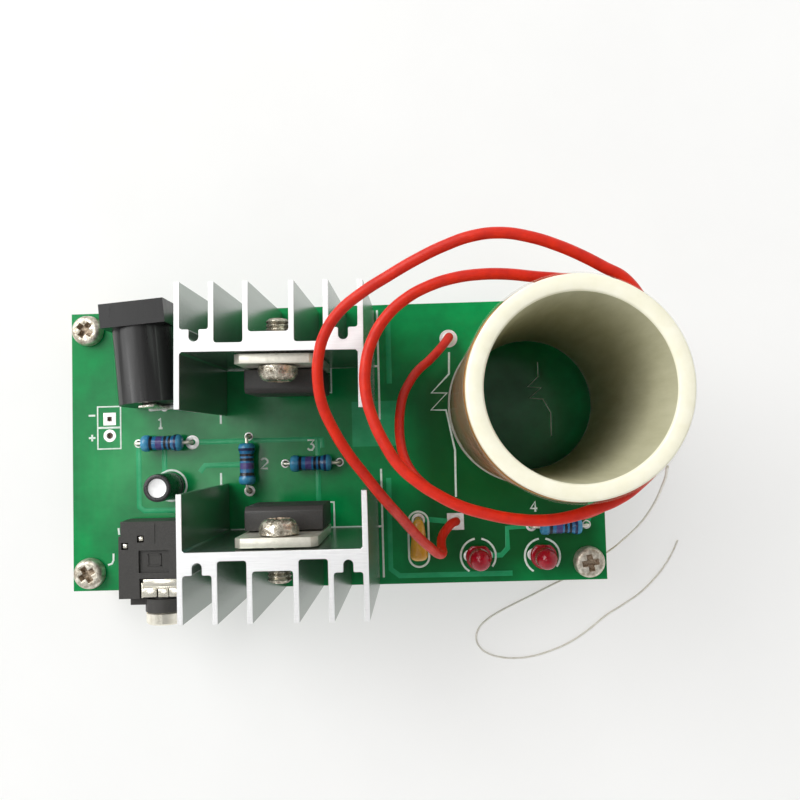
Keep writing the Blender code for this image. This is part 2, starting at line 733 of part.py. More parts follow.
def make_heatsink(side, frame):
    """A heatsink with its transistor; returns the places where the transistor's leads go."""
    upper = side == "upper"
    turn = math.radians(UPPER_HEATSINK_TURN_DEG) if upper else math.pi
    share = UPPER_HEATSINK_PLACE_SHARE if upper else LOWER_HEATSINK_PLACE_SHARE
    offset = UPPER_TRANSISTOR_OFFSET if upper else LOWER_TRANSISTOR_OFFSET
    place = Vector((heatsink_start() + heatsink_width() / 2, share * BOARD_WIDTH, 0))
    group = carrier(side + "_heatsink_group", place, turn, frame)
    lift = Matrix.Translation((0, 0, SEAT_GAP))
    extrusion = outline(heatsink_outline(), HEATSINK_HEIGHT, lift)
    sink = piece(side + "_heatsink", extrusion, "cut_aluminium", group)
    hole_height = CASE_RISE + CASE_HEIGHT + TAB_HOLE_RISE
    depth = MIDDLE_BLOCK_THICKNESS + 2 * OVERRUN
    ends = [((offset, -OVERRUN, hole_height), depth)]
    hole = rods(ends, TAB_SCREW_RADIUS + HOLE_GAP, SMALL_STEPS, "Y")
    cut(sink, guide(side + "_sink_hole", hole, group))
    make_transistor(side, carrier(side + "_transistor_group", (offset, 0, 0), 0, group), hole_height)
    row = -(SEAT_GAP + POWER_LEAD_BACK)
    spin = Matrix.Rotation(turn, 4, "Z")
    room = math.hypot(POWER_LEAD_WIDTH / 2, POWER_LEAD_THICKNESS / 2) + HOLE_GAP
    leads = [Vector((offset + number * POWER_LEAD_PITCH, row, 0)) for number in (-1, 0, 1)]
    return [(place + spin @ lead, room) for lead in leads]


def power_lead_outline():
    """A lead seen from the front, from inside its case to its tail under the board."""
    narrow = POWER_LEAD_WIDTH / 2
    wide = POWER_LEAD_SHOULDER_WIDTH / 2
    top = CASE_RISE + LEAD_SOCKET_DEPTH
    step = CASE_RISE - POWER_LEAD_SHOULDER
    tail = -(BOARD_THICKNESS + LEAD_TAIL)
    right = [(narrow, tail), (narrow, step - narrow), (wide, step), (wide, top)]
    return right + [(-x, z) for x, z in reversed(right)]


def make_transistor(side, group, hole_height):
    """A power transistor: tab with its middle lead, moulded case, two outer leads and a screw."""
    back = -SEAT_GAP
    tab_front = back - TAB_THICKNESS
    row = back - POWER_LEAD_BACK
    half_lead = POWER_LEAD_THICKNESS / 2
    half = CASE_WIDTH / 2
    top = CASE_RISE + CASE_HEIGHT + TAB_HEIGHT
    upright = Matrix.Rotation(math.pi / 2, 4, "X")
    plate = [
        (-half, CASE_RISE),
        (half, CASE_RISE),
        (half, top - TAB_CHAMFER),
        (half - TAB_CHAMFER, top),
        (TAB_CHAMFER - half, top),
        (-half, top - TAB_CHAMFER),
    ]
    plate_turn = Matrix.Translation((0, back, 0)) @ upright
    flat = outline(plate, TAB_THICKNESS, plate_turn)
    tab = piece(side + "_transistor_tab", flat, "tinned_copper", group)
    lead_turn = Matrix.Translation((0, row + half_lead, 0)) @ upright
    middle_lead = outline(power_lead_outline(), POWER_LEAD_THICKNESS, lead_turn)
    join(tab, guide(side + "_middle_lead", middle_lead, group))
    wide = POWER_LEAD_SHOULDER_WIDTH / 2
    low = (-POWER_LEAD_WIDTH / 2, row, CASE_RISE + SEAT_GAP)
    high = (POWER_LEAD_WIDTH / 2, back - half_lead, CASE_RISE + LEAD_SOCKET_DEPTH - SEAT_GAP)
    join(tab, guide(side + "_lead_bridge", boxes((low, high)), group))
    ends = [((0, tab_front - OVERRUN, hole_height), TAB_THICKNESS + 2 * OVERRUN)]
    hole = rods(ends, TAB_SCREW_RADIUS + HOLE_GAP, SMALL_STEPS, "Y")
    cut(tab, guide(side + "_tab_hole", hole, group))

    case_back = tab_front - SEAT_GAP
    case_front = back - CASE_THICKNESS
    case_top = CASE_RISE + CASE_HEIGHT
    section = [
        (case_back, CASE_RISE),
        (case_back, case_top),
        (case_front + CASE_SLOPE, case_top),
        (case_front, case_top - CASE_SLOPE),
        (case_front, CASE_RISE + CASE_SLOPE),
        (case_front + CASE_SLOPE, CASE_RISE),
    ]
    shape = outline(section, CASE_WIDTH, sideways(-half))
    case = piece(side + "_transistor_case", shape, "black_epoxy", group)
    socket_top = CASE_RISE + LEAD_SOCKET_DEPTH + SEAT_GAP
    sockets = []
    for number in (-1, 0, 1):
        x = number * POWER_LEAD_PITCH
        behind = case_back + OVERRUN if number == 0 else row + half_lead + HOLE_GAP
        low = (x - wide - HOLE_GAP, row - half_lead - HOLE_GAP, CASE_RISE - OVERRUN)
        sockets.append((low, (x + wide + HOLE_GAP, behind, socket_top)))
    cut(case, guide(side + "_lead_sockets", boxes(*sockets), group))

    for name, x in (("left", -POWER_LEAD_PITCH), ("right", POWER_LEAD_PITCH)):
        turn = Matrix.Translation((x, row + half_lead, 0)) @ upright
        lead = outline(power_lead_outline(), POWER_LEAD_THICKNESS, turn)
        piece(side + "_transistor_lead_" + name, lead, "tinned_copper", group)

    seat = (0, tab_front - SEAT_GAP, hole_height)
    pan_head_screw(
        side + "_transistor_screw",
        TAB_SCREW_RADIUS,
        TAB_SCREW_LENGTH,
        TAB_SCREW_HEAD_RADIUS,
        TAB_SCREW_HEAD_HEIGHT,
        group,
        seat,
        (math.pi / 2, 0, 0),
    )


def leaf_outline(length, crest, tip):
    """A contact spring seen from its side, about the axis at its root: it rises to a crest."""
    middle = [
        (0, 0),
        (length * LEAF_FLAT_SHARE, 0),
        (length * LEAF_CREST_SHARE, crest),
        (length * LEAF_FALL_SHARE, tip),
        (length, tip),
    ]
    half = STRIP_THICKNESS / 2
    return [(x, y - half) for x, y in middle] + [(x, y + half) for x, y in reversed(middle)]


def make_power_jack(frame):
    """The barrel jack; returns the places of its terminals on the board."""
    turn = math.radians(POWER_JACK_TURN_DEG)
    place = on_board(POWER_JACK_PLACE_SHARES)
    group = carrier("power_jack_group", place, turn, frame)
    half_length = POWER_JACK_LENGTH / 2
    half_width = POWER_JACK_WIDTH / 2
    upright = Matrix.Rotation(math.pi / 2, 4, "X")
    section = [
        (BARREL_RADIUS, SEAT_GAP),
        *arc((0, POWER_AXIS_RISE), BARREL_RADIUS, 0, math.pi, BARREL_STEPS),
        (-BARREL_RADIUS, SEAT_GAP),
    ]
    barrel_turn = Matrix.Translation((0, half_length, 0)) @ upright
    barrel = outline(section, POWER_JACK_LENGTH, barrel_turn)
    housing = piece("power_jack_housing", barrel, "black_plastic", group)
    low = (-half_width, half_length - POWER_JACK_BLOCK, SEAT_GAP)
    block = boxes((low, (half_width, half_length, POWER_JACK_HEIGHT + SEAT_GAP)))
    join(housing, guide("power_jack_block", block, group))

    bore_end = half_length - POWER_BORE_DEPTH
    ends = [((0, bore_end, POWER_AXIS_RISE), POWER_BORE_DEPTH + OVERRUN)]
    bore = rods(ends, POWER_BORE_RADIUS, TURNED_STEPS, "Y")
    cut(housing, guide("power_jack_bore", bore, group))
    ends = [((0, -half_length - OVERRUN, POWER_AXIS_RISE), POWER_JACK_LENGTH)]
    pin_passage = rods(ends, POWER_PIN_RADIUS + HOLE_GAP, SMALL_STEPS, "Y")
    cut(housing, guide("power_pin_passage", pin_passage, group))

    plate_front = -half_length - SEAT_GAP
    pin_length = half_length - POWER_PIN_SETBACK - plate_front
    nose = POWER_PIN_RADIUS / 2
    profile = [
        (0, -REAR_PLATE_THICKNESS / 2),
        (POWER_PIN_RADIUS, -REAR_PLATE_THICKNESS / 2),
        (POWER_PIN_RADIUS, pin_length - nose),
        (nose, pin_length),
        (0, pin_length),
    ]
    along = Matrix.Translation((0, plate_front, POWER_AXIS_RISE))
    along = along @ Matrix.Rotation(-math.pi / 2, 4, "X")
    pin = piece("power_jack_pin", turned(profile, SMALL_STEPS, along), "nickel", group)
    plate_low = POWER_AXIS_RISE - REAR_PLATE_HEIGHT / 2
    plate_high = POWER_AXIS_RISE + REAR_PLATE_HEIGHT / 2
    half_plate = REAR_PLATE_WIDTH / 2
    half_strip = STRIP_WIDTH / 2
    tail_low = -(BOARD_THICKNESS + LEAD_TAIL)
    plate = [
        (half_strip, tail_low),
        (half_strip, plate_low),
        (half_plate, plate_low),
        (half_plate, plate_high),
    ]
    plate += [(-x, z) for x, z in reversed(plate)]
    plate_turn = Matrix.Translation((0, plate_front, 0)) @ upright
    rear = outline(plate, REAR_PLATE_THICKNESS, plate_turn)
    join(pin, guide("power_rear_plate", rear, group))

    strip_back = bore_end + SEAT_GAP + HOLE_GAP
    strip_front = strip_back + STRIP_THICKNESS
    root = strip_front + SEAT_GAP
    leaf_end = root + SLEEVE_SPRING_LENGTH
    half_thick = STRIP_THICKNESS / 2
    root_rise = POWER_AXIS_RISE - POWER_BORE_RADIUS - SEAT_GAP - half_thick
    slot_floor = root_rise - half_thick - SLEEVE_SPRING_ROOM
    slot = [
        (strip_back - HOLE_GAP, -OVERRUN),
        (strip_front + HOLE_GAP, -OVERRUN),
        (strip_front + HOLE_GAP, slot_floor),
        (leaf_end + SEAT_GAP, slot_floor),
        (leaf_end + SEAT_GAP, POWER_AXIS_RISE),
        (strip_back - HOLE_GAP, POWER_AXIS_RISE),
    ]
    slot_width = STRIP_WIDTH + 2 * HOLE_GAP
    slot_cutter = outline(slot, slot_width, sideways(-slot_width / 2))
    cut(housing, guide("sleeve_spring_slot", slot_cutter, group))
    fall = STRIP_THICKNESS + 2 * SEAT_GAP
    crest = SEAT_GAP + SLEEVE_SPRING_LIFT
    section = leaf_outline(SLEEVE_SPRING_LENGTH, crest, -fall)
    leaf = outline(section, STRIP_WIDTH, sideways(-half_strip))
    piece("power_sleeve_spring", leaf, "nickel", group, (0, root, root_rise))
    low = (-half_strip, strip_back, tail_low)
    strip = boxes((low, (half_strip, strip_front, root_rise + half_thick)))
    piece("power_sleeve_terminal", strip, "nickel", group)

    arm_low = root_rise - fall + half_thick + SEAT_GAP
    arm_high = arm_low + STRIP_THICKNESS
    leg = SWITCH_LEG_OFFSET
    hook = [
        (leg + half_thick, tail_low),
        (leg + half_thick, arm_high),
        (-SWITCH_STRIP_WIDTH / 2, arm_high),
        (-SWITCH_STRIP_WIDTH / 2, arm_low),
        (leg - half_thick, arm_low),
        (leg - half_thick, tail_low),
    ]
    hook_turn = Matrix.Translation((0, leaf_end, 0)) @ upright
    switch = outline(hook, SWITCH_STRIP_WIDTH, hook_turn)
    piece("power_switch_terminal", switch, "nickel", group)
    room = half_thick + HOLE_GAP
    hook_room = [
        (leg + room, -OVERRUN),
        (leg + room, arm_high + HOLE_GAP),
        (0, arm_high + HOLE_GAP),
        (0, arm_low - HOLE_GAP),
        (leg - room, arm_low - HOLE_GAP),
        (leg - room, -OVERRUN),
    ]
    room_turn = Matrix.Translation((0, leaf_end + HOLE_GAP / 2, 0)) @ upright
    hook_cutter = outline(hook_room, SWITCH_STRIP_WIDTH + HOLE_GAP, room_turn)
    cut(housing, guide("switch_terminal_room", hook_cutter, group))

    spin = Matrix.Rotation(turn, 4, "Z")
    wide_hole = math.hypot(half_strip, REAR_PLATE_THICKNESS / 2) + HOLE_GAP
    switch_hole = math.hypot(SWITCH_STRIP_WIDTH / 2, half_thick) + HOLE_GAP
    tails = (
        (0, plate_front - REAR_PLATE_THICKNESS / 2, wide_hole),
        (0, strip_back + half_thick, wide_hole),
        (leg, leaf_end - SWITCH_STRIP_WIDTH / 2, switch_hole),
    )
    return [(place + spin @ Vector((x, y, 0)), hole) for x, y, hole in tails]


def shell_section(gap):
    """The clip over the sound jack's front, seen from its mouth, widened by a gap all round."""
    outer = SHELL_WIDTH / 2 + gap
    inner = SHELL_WIDTH / 2 - SHELL_THICKNESS - gap
    top = SOUND_JACK_HEIGHT + SEAT_GAP
    under = top - SHELL_THICKNESS - gap
    foot = top - SHELL_DROP - gap
    if gap:
        top += OVERRUN
    half = [(inner, under), (inner, foot), (outer, foot), (outer, top)]
    return [(-x, z) for x, z in half] + [(x, z) for x, z in reversed(half)]


def make_sound_jack(frame):
    """The plug socket for sound; returns the places of its posts on the board."""
    half_length = SOUND_JACK_LENGTH / 2
    half_width = SOUND_JACK_WIDTH / 2
    place = Vector((SOUND_JACK_PLACE_SHARE * BOARD_LENGTH, half_length - SOUND_JACK_OVERHANG, 0))
    group = carrier("sound_jack_group", place, 0, frame)
    top = SOUND_JACK_HEIGHT + SEAT_GAP
    front = -half_length
    upright = Matrix.Rotation(math.pi / 2, 4, "X")
    body = boxes(((-half_width, front, SEAT_GAP), (half_width, half_length, top)))
    housing = piece("sound_jack_housing", body, "grey_plastic", group)
    channel_turn = Matrix.Translation((0, front + SHELL_LENGTH + SEAT_GAP, 0)) @ upright
    channel_length = SHELL_LENGTH + SEAT_GAP + OVERRUN
    channel = outline(shell_section(HOLE_GAP), channel_length, channel_turn)
    cut(housing, guide("shell_channel", channel, group))
    half_step = FRONT_STEP_WIDTH / 2
    low = (-half_step, front - FRONT_STEP_REACH, SEAT_GAP)
    step = boxes((low, (half_step, front + OVERRUN, FRONT_STEP_HEIGHT)))
    join(housing, guide("sound_jack_step", step, group))
    mouthwards = Matrix.Translation((0, front, SOUND_AXIS_RISE))
    mouthwards = mouthwards @ Matrix.Rotation(math.pi / 2, 4, "X")
    profile = [
        (0, -OVERRUN),
        (COLLAR_CORE_RADIUS, -OVERRUN),
        (COLLAR_CORE_RADIUS, SEAT_GAP),
        (COLLAR_RADIUS, SEAT_GAP),
        (COLLAR_RADIUS, COLLAR_REACH),
        (0, COLLAR_REACH),
    ]
    collar = turned(profile, TURNED_STEPS, mouthwards)
    join(housing, guide("sound_jack_collar", collar, group))
    mouth = front - COLLAR_REACH
    bore_length = half_length - SOUND_BORE_BACK_WALL - mouth + OVERRUN
    ends = [((0, mouth - OVERRUN, SOUND_AXIS_RISE), bore_length)]
    bore = rods(ends, SOUND_BORE_RADIUS, SMALL_STEPS, "Y")
    cut(housing, guide("sound_jack_bore", bore, group))
    ends = [((0, mouth - OVERRUN, SOUND_AXIS_RISE), BUSH_SLEEVE_LENGTH + OVERRUN)]
    seat = rods(ends, BUSH_SLEEVE_RADIUS + HOLE_GAP, TURNED_STEPS, "Y")
    cut(housing, guide("bush_seat", seat, group))
    half_recess = LID_RECESS_LENGTH / 2
    left = -LID_RECESS_SIDE_OFFSET - LID_RECESS_WIDTH / 2
    low = (left, -LID_RECESS_OFFSET - half_recess, top - LID_RECESS_DEPTH)
    high = (left + LID_RECESS_WIDTH, -LID_RECESS_OFFSET + half_recess, top + OVERRUN)
    cut(housing, guide("sound_lid_recess", boxes((low, high)), group))

    shell_turn = Matrix.Translation((0, front + SHELL_LENGTH, 0)) @ upright
    clip = outline(shell_section(0), SHELL_LENGTH, shell_turn)
    shell = piece("sound_jack_shell", clip, "nickel", group)
    half_slot = SHELL_SLOT_WIDTH / 2
    low = (-half_slot, front - OVERRUN, top - OVERRUN)
    slot = boxes((low, (half_slot, front + SHELL_SLOT_WIDTH, top + OVERRUN)))
    cut(shell, guide("shell_slot", slot, group))

    profile = [
        (SOUND_BORE_RADIUS, COLLAR_REACH + SEAT_GAP + BUSH_REACH),
        (BUSH_RADIUS, COLLAR_REACH + SEAT_GAP + BUSH_REACH),
        (BUSH_RADIUS, COLLAR_REACH + SEAT_GAP),
        (BUSH_SLEEVE_RADIUS, COLLAR_REACH + SEAT_GAP),
        (BUSH_SLEEVE_RADIUS, COLLAR_REACH + SEAT_GAP - BUSH_SLEEVE_LENGTH),
        (SOUND_BORE_RADIUS, COLLAR_REACH + SEAT_GAP - BUSH_SLEEVE_LENGTH),
    ]
    bush = turned(profile, TURNED_STEPS, mouthwards)
    piece("sound_jack_bush", bush, "nickel", group)

    half_height = SOUND_SPRING_HEIGHT / 2
    half_thick = STRIP_THICKNESS / 2
    root_side = SOUND_BORE_RADIUS + SEAT_GAP + half_thick
    far_side = root_side + half_thick + SOUND_SPRING_ROOM
    crest = SEAT_GAP + SOUND_SPRING_LIFT
    leaf = leaf_outline(SOUND_SPRING_LENGTH, crest, crest * LEAF_FLAT_SHARE)
    lift = Matrix.Translation((0, 0, -half_height))
    room_low = SOUND_AXIS_RISE - half_height - HOLE_GAP
    room_high = SOUND_AXIS_RISE + half_height + HOLE_GAP
    half_post = SOUND_POST_WIDTH / 2
    across, along = SLEEVE_POST_PLACE_SHARES
    posts = {"sleeve": (across * SOUND_JACK_WIDTH, along * SOUND_JACK_LENGTH)}
    for name, side, root in (("tip", -1, TIP_SPRING_ROOT), ("ring", 1, RING_SPRING_ROOT)):
        flat = [(-side * y, -x) for x, y in leaf]
        spring = outline(flat, SOUND_SPRING_HEIGHT, lift)
        hinge = (side * root_side, root, SOUND_AXIS_RISE)
        piece("sound_%s_spring" % name, spring, "nickel", group, hinge)
        near, far = sorted((0, side * far_side))
        low = (near, root - SOUND_SPRING_LENGTH - SEAT_GAP, room_low)
        room = boxes((low, (far, root + SEAT_GAP, room_high)))
        cut(housing, guide("%s_spring_room" % name, room, group))
        beside = root_side + half_thick + HOLE_GAP + half_post
        posts[name] = (side * beside, root + SEAT_GAP + half_post)

    tail_low = -(BOARD_THICKNESS + LEAD_TAIL)
    half_passage = half_post + HOLE_GAP
    passages = []
    for name, (x, y) in posts.items():
        hidden = name == "ring"
        post_top = SOUND_AXIS_RISE + half_height if hidden else top - SEAT_GAP
        passage_top = room_high + HOLE_GAP if hidden else top + OVERRUN
        low = (x - half_post, y - half_post, tail_low)
        post = boxes((low, (x + half_post, y + half_post, post_top)))
        piece("sound_%s_post" % name, post, "nickel", group)
        low = (x - half_passage, y - half_passage, -OVERRUN)
        passages.append((low, (x + half_passage, y + half_passage, passage_top)))
    cut(housing, guide("post_passages", boxes(*passages), group))
    hole = math.hypot(half_post, half_post) + HOLE_GAP
    return [(place + Vector((x, y, 0)), hole) for x, y in posts.values()]


def make_resistor(name, frame):
    """A resistor with its two leads bent down into the board."""
    along, across, half_turns = RESISTOR_PLACE_SHARES[name]
    place = on_board((along, across))
    turn = math.pi * half_turns
    axis_rise = RESISTOR_RISE + RESISTOR_END_RADIUS
    half = RESISTOR_LENGTH / 2
    neck = half - RESISTOR_END_LENGTH
    slope = RESISTOR_END_RADIUS - RESISTOR_RADIUS
    profile = [
        (0, -half),
        (RESISTOR_RADIUS, -half),
        (RESISTOR_END_RADIUS, -half + slope),
        (RESISTOR_END_RADIUS, -neck - slope),
        (RESISTOR_RADIUS, -neck),
    ]
    profile += [(radius, -height) for radius, height in reversed(profile)]
    lie = Matrix.Translation((0, 0, axis_rise)) @ Matrix.Rotation(math.pi / 2, 4, "Y")
    body = turned(profile, SMALL_STEPS, lie)
    group = carrier(name + "_group", place, turn, frame)
    resistor = piece(name, body, "blue_lacquer", group)
    reach = RESISTOR_PITCH / 2
    thick = SMALL_LEAD_RADIUS
    tail_low = -(BOARD_THICKNESS + LEAD_TAIL)
    bent = [
        (reach + thick, tail_low),
        (reach + thick, axis_rise - thick),
        (reach - thick, axis_rise + thick),
    ]
    bent += [(-x, z) for x, z in reversed(bent)]
    inner = [
        (-reach + thick, tail_low),
        (-reach + thick, axis_rise - thick),
    ]
    bent += inner + [(-x, z) for x, z in reversed(inner)]
    upright = Matrix.Translation((0, thick, 0)) @ Matrix.Rotation(math.pi / 2, 4, "X")
    join(resistor, guide(name + "_leads", outline(bent, 2 * thick, upright), group))
    spin = Matrix.Rotation(turn, 4, "Z")
    hole = math.hypot(thick, thick) + HOLE_GAP
    return [(place + spin @ Vector((x, 0, 0)), hole) for x in (-reach, reach)]


def make_capacitors(frame):
    """The round capacitor in its sleeve, and the flat dipped one; returns their lead places."""
    place = on_board(CAPACITOR_PLACE_SHARES)
    group = carrier("capacitor_group", place, 0, frame)
    inner = CAPACITOR_RADIUS - CAPACITOR_SLEEVE_THICKNESS
    lip = CAPACITOR_HEIGHT - CAPACITOR_SLEEVE_THICKNESS
    profile = [
        (inner, SEAT_GAP),
        (CAPACITOR_RADIUS, SEAT_GAP),
        (CAPACITOR_RADIUS, CAPACITOR_HEIGHT),
        (inner - CAPACITOR_LIP, CAPACITOR_HEIGHT),
        (inner - CAPACITOR_LIP, lip),
        (inner, lip),
    ]
    piece("capacitor_sleeve", turned(profile, TURNED_STEPS), "black_sleeve", group)
    can = inner - WRAP_GAP
    can_profile = [(0, SEAT_GAP), (can, SEAT_GAP), (can, lip - WRAP_GAP), (0, lip - WRAP_GAP)]
    piece("capacitor_can", turned(can_profile, TURNED_STEPS), "bright_can", group)
    thick = SMALL_LEAD_RADIUS
    tail_low = -(BOARD_THICKNESS + LEAD_TAIL)
    hole = math.hypot(thick, thick) + HOLE_GAP
    holes = []
    for name, way in (("left", -1), ("right", 1)):
        x = way * CAPACITOR_LEAD_PITCH / 2
        lead = boxes(((x - thick, -thick, tail_low), (x + thick, thick, 0)))
        piece("capacitor_lead_" + name, lead, "tinned_copper", group)
        holes.append((place + Vector((x, 0, 0)), hole))

    start = heatsink_start() + heatsink_width()
    end = LAMP_PLACE_SHARES["lamp_1"][0] * BOARD_LENGTH - LAMP_FLANGE_RADIUS
    along = start + (end - start) * FILM_CAPACITOR_ROOM_SHARE
    place = Vector((along, FILM_CAPACITOR_PLACE_SHARE * BOARD_WIDTH, 0))
    group = carrier("film_capacitor_group", place, 0, frame)
    radius = FILM_CAPACITOR_THICKNESS / 2
    straight = FILM_CAPACITOR_LENGTH / 2 - radius
    rounded = arc((0, straight), radius, 0, math.pi, FILM_STEPS)
    rounded += arc((0, -straight), radius, math.pi, 2 * math.pi, FILM_STEPS)
    lift = Matrix.Translation((0, 0, FILM_CAPACITOR_RISE))
    body = piece("film_capacitor", outline(rounded, FILM_CAPACITOR_HEIGHT, lift), "mustard_dip", group)
    crown = body.modifiers.new("crown", "BEVEL")
    crown.width = radius * FILM_CROWN_SHARE
    crown.segments = 2
    crown.limit_method = "ANGLE"
    reach = FILM_CAPACITOR_PITCH / 2
    middle = FILM_CAPACITOR_RISE + FILM_CAPACITOR_HEIGHT / 2
    leads = boxes(
        ((-thick, -reach - thick, tail_low), (thick, -reach + thick, middle)),
        ((-thick, reach - thick, tail_low), (thick, reach + thick, middle)),
    )
    join(body, guide("film_capacitor_leads", leads, group))
    holes += [(place + Vector((0, y, 0)), hole) for y in (-reach, reach)]
    return holes


def make_lamp(name, frame):
    """A small red lamp with its two leads; returns where they go."""
    place = on_board(LAMP_PLACE_SHARES[name])
    group = carrier(name + "_group", place, 0, frame)
    shoulder = LAMP_RISE + LAMP_HEIGHT - LAMP_RADIUS
    flange_top = LAMP_RISE + LAMP_FLANGE_HEIGHT
    profile = [
        (0, LAMP_RISE),
        (LAMP_FLANGE_RADIUS, LAMP_RISE),
        (LAMP_FLANGE_RADIUS, flange_top),
        (LAMP_RADIUS, flange_top),
        *arc((0, shoulder), LAMP_RADIUS, 0, math.pi / 2, DOME_STEPS)[:-1],
        (0, shoulder + LAMP_RADIUS),
    ]
    piece(name + "_lens", turned(profile, TURNED_STEPS), "red_epoxy", group)
    half = LAMP_LEAD_WIDTH / 2
    tail_low = -(BOARD_THICKNESS + LEAD_TAIL)
    holes = []
    for side, way in (("left", -1), ("right", 1)):
        x = way * LAMP_LEAD_PITCH / 2
        lead = boxes(((x - half, -half, tail_low), (x + half, half, LAMP_RISE - SEAT_GAP)))
        piece("%s_lead_%s" % (name, side), lead, "tinned_copper", group)
        holes.append((place + Vector((x, 0, 0)), math.hypot(half, half) + HOLE_GAP))
    return holes


def ring(inner, outer, low, high):
    """The profile of a plain tube."""
    return [(inner, low), (outer, low), (outer, high), (inner, high)]


def film_radius():
    """The outside of everything that is wrapped round the coil tube."""
    return TUBE_RADIUS + WRAP_GAP + WINDING_THICKNESS + WRAP_GAP + FILM_THICKNESS


def make_coil_tube(frame):
    """The glued tube, its fine winding, the film over it and the winding's lower lead."""
    place = on_board(TUBE_PLACE_SHARES)
    group = carrier("coil_tube_group", place, 0, frame)
    glue_top = WRAP_GAP + GLUE_THICKNESS
    foot = glue_top + WRAP_GAP
    glue = turned(ring(TUBE_BORE_RADIUS, TUBE_RADIUS + GLUE_BEAD, WRAP_GAP, glue_top), TUBE_STEPS)
    piece("coil_tube_glue", glue, "clear_glue", group)
    tube = turned(ring(TUBE_BORE_RADIUS, TUBE_RADIUS, foot, foot + TUBE_HEIGHT), TUBE_STEPS)
    piece("coil_tube", tube, "ivory_plastic", group)
    low = foot + WINDING_START
    high = low + WINDING_LENGTH
    inside = TUBE_RADIUS + WRAP_GAP
    outside = inside + WINDING_THICKNESS
    winding = turned(ring(inside, outside, low, high), TUBE_STEPS)
    piece("fine_winding", winding, "copper_enamel", group)
    film = turned(
        ring(outside + WRAP_GAP, film_radius(), low - FILM_OVERLAP, high + FILM_OVERLAP),
        TUBE_STEPS,
    )
    piece("winding_film", film, "clear_film", group)

    pad = on_board(FINE_PAD_PLACE_SHARES)
    outward = (pad - place).normalized()
    start = place + outward * (outside + FINE_WIRE_DIAMETER / 2)
    rise = Vector((0, 0, low - FILM_OVERLAP - FINE_WIRE_DIAMETER))
    deep = Vector((0, 0, -(BOARD_THICKNESS + LEAD_TAIL)))
    over = pad + Vector((0, 0, FINE_WIRE_DIAMETER * 2))
    route = [start + rise, start.lerp(pad, LOW_LEAD_SHARE) + rise, over, pad + deep / 2, pad + deep]
    points = smooth_route(route, SMALL_STEPS)
    wire("fine_winding_low_lead", points, FINE_WIRE_DIAMETER, 1, "copper_enamel", frame)
    return [(pad, WIRE_PAD_HOLE_RADIUS)]


def make_wires(frame):
    """The loose primary coil of red wire, and the fine wire that trails from the winding's top."""
    red = smooth_route(RED_WIRE_ROUTE, RED_WIRE_POINTS)
    wire("primary_coil", red, RED_WIRE_DIAMETER, 1, "red_insulation", frame)
    gap = least_gap(red, RED_WIRE_DIAMETER)
    print("primary coil: least gap to itself %.2f mm" % (gap * 1000))
    fine = smooth_route(FINE_WIRE_ROUTE, FINE_WIRE_POINTS)
    wire("secondary_lead", fine, FINE_WIRE_DIAMETER, 2, "copper_enamel", frame)
    for name, route in (("red", red), ("fine", fine)):
        length = sum((b - a).length for a, b in zip(route, route[1:]))
        print("%s wire: %.1f mm long" % (name, length * 1000))
    return [(on_board(shares), WIRE_PAD_HOLE_RADIUS) for shares in RED_PAD_PLACE_SHARES]


def frame_place():
    """Where the board's front left corner lies, for the part to stand centred on the origin."""
    right = max(BOARD_LENGTH, TUBE_PLACE_SHARES[0] * BOARD_LENGTH + film_radius())
    turn = math.radians(POWER_JACK_TURN_DEG)
    jack_reach = POWER_JACK_LENGTH / 2 * math.cos(turn) + POWER_JACK_WIDTH / 2 * math.sin(turn)
    back = max(BOARD_WIDTH, POWER_JACK_PLACE_SHARES[1] * BOARD_WIDTH + jack_reach)
    front = SOUND_JACK_OVERHANG + COLLAR_REACH + SEAT_GAP + BUSH_REACH
    top = STANDOFF_HEIGHT + SEAT_GAP + BOARD_THICKNESS
    return (-right / 2, (front - back) / 2, top)


def make_part():
    for old in list(bpy.data.objects):
        bpy.data.objects.remove(old)
    frame = carrier("board_frame", frame_place())
    make_stand(frame)
    holes = []
    for side in ("upper", "lower"):
        holes += make_heatsink(side, frame)
    holes += make_power_jack(frame)
    holes += make_sound_jack(frame)
    for name in RESISTOR_PLACE_SHARES:
        holes += make_resistor(name, frame)
    holes += make_capacitors(frame)
    for name in LAMP_PLACE_SHARES:
        holes += make_lamp(name, frame)
    holes += make_coil_tube(frame)
    holes += make_wires(frame)
    header = on_board(HEADER_PLACE_SHARES)
    for way in (-1, 1):
        step = Vector((0, way * HEADER_PITCH / 2, 0))
        holes.append((header + step, HEADER_HOLE_RADIUS))
    make_board(frame, holes)


make_part()
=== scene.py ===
"""A desktop resonant transformer kit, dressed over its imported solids.

Pieces are built in millimetres from the board's front left corner, on its top face.
"""

import math

import bmesh
import bpy
from mathutils import Matrix, Vector


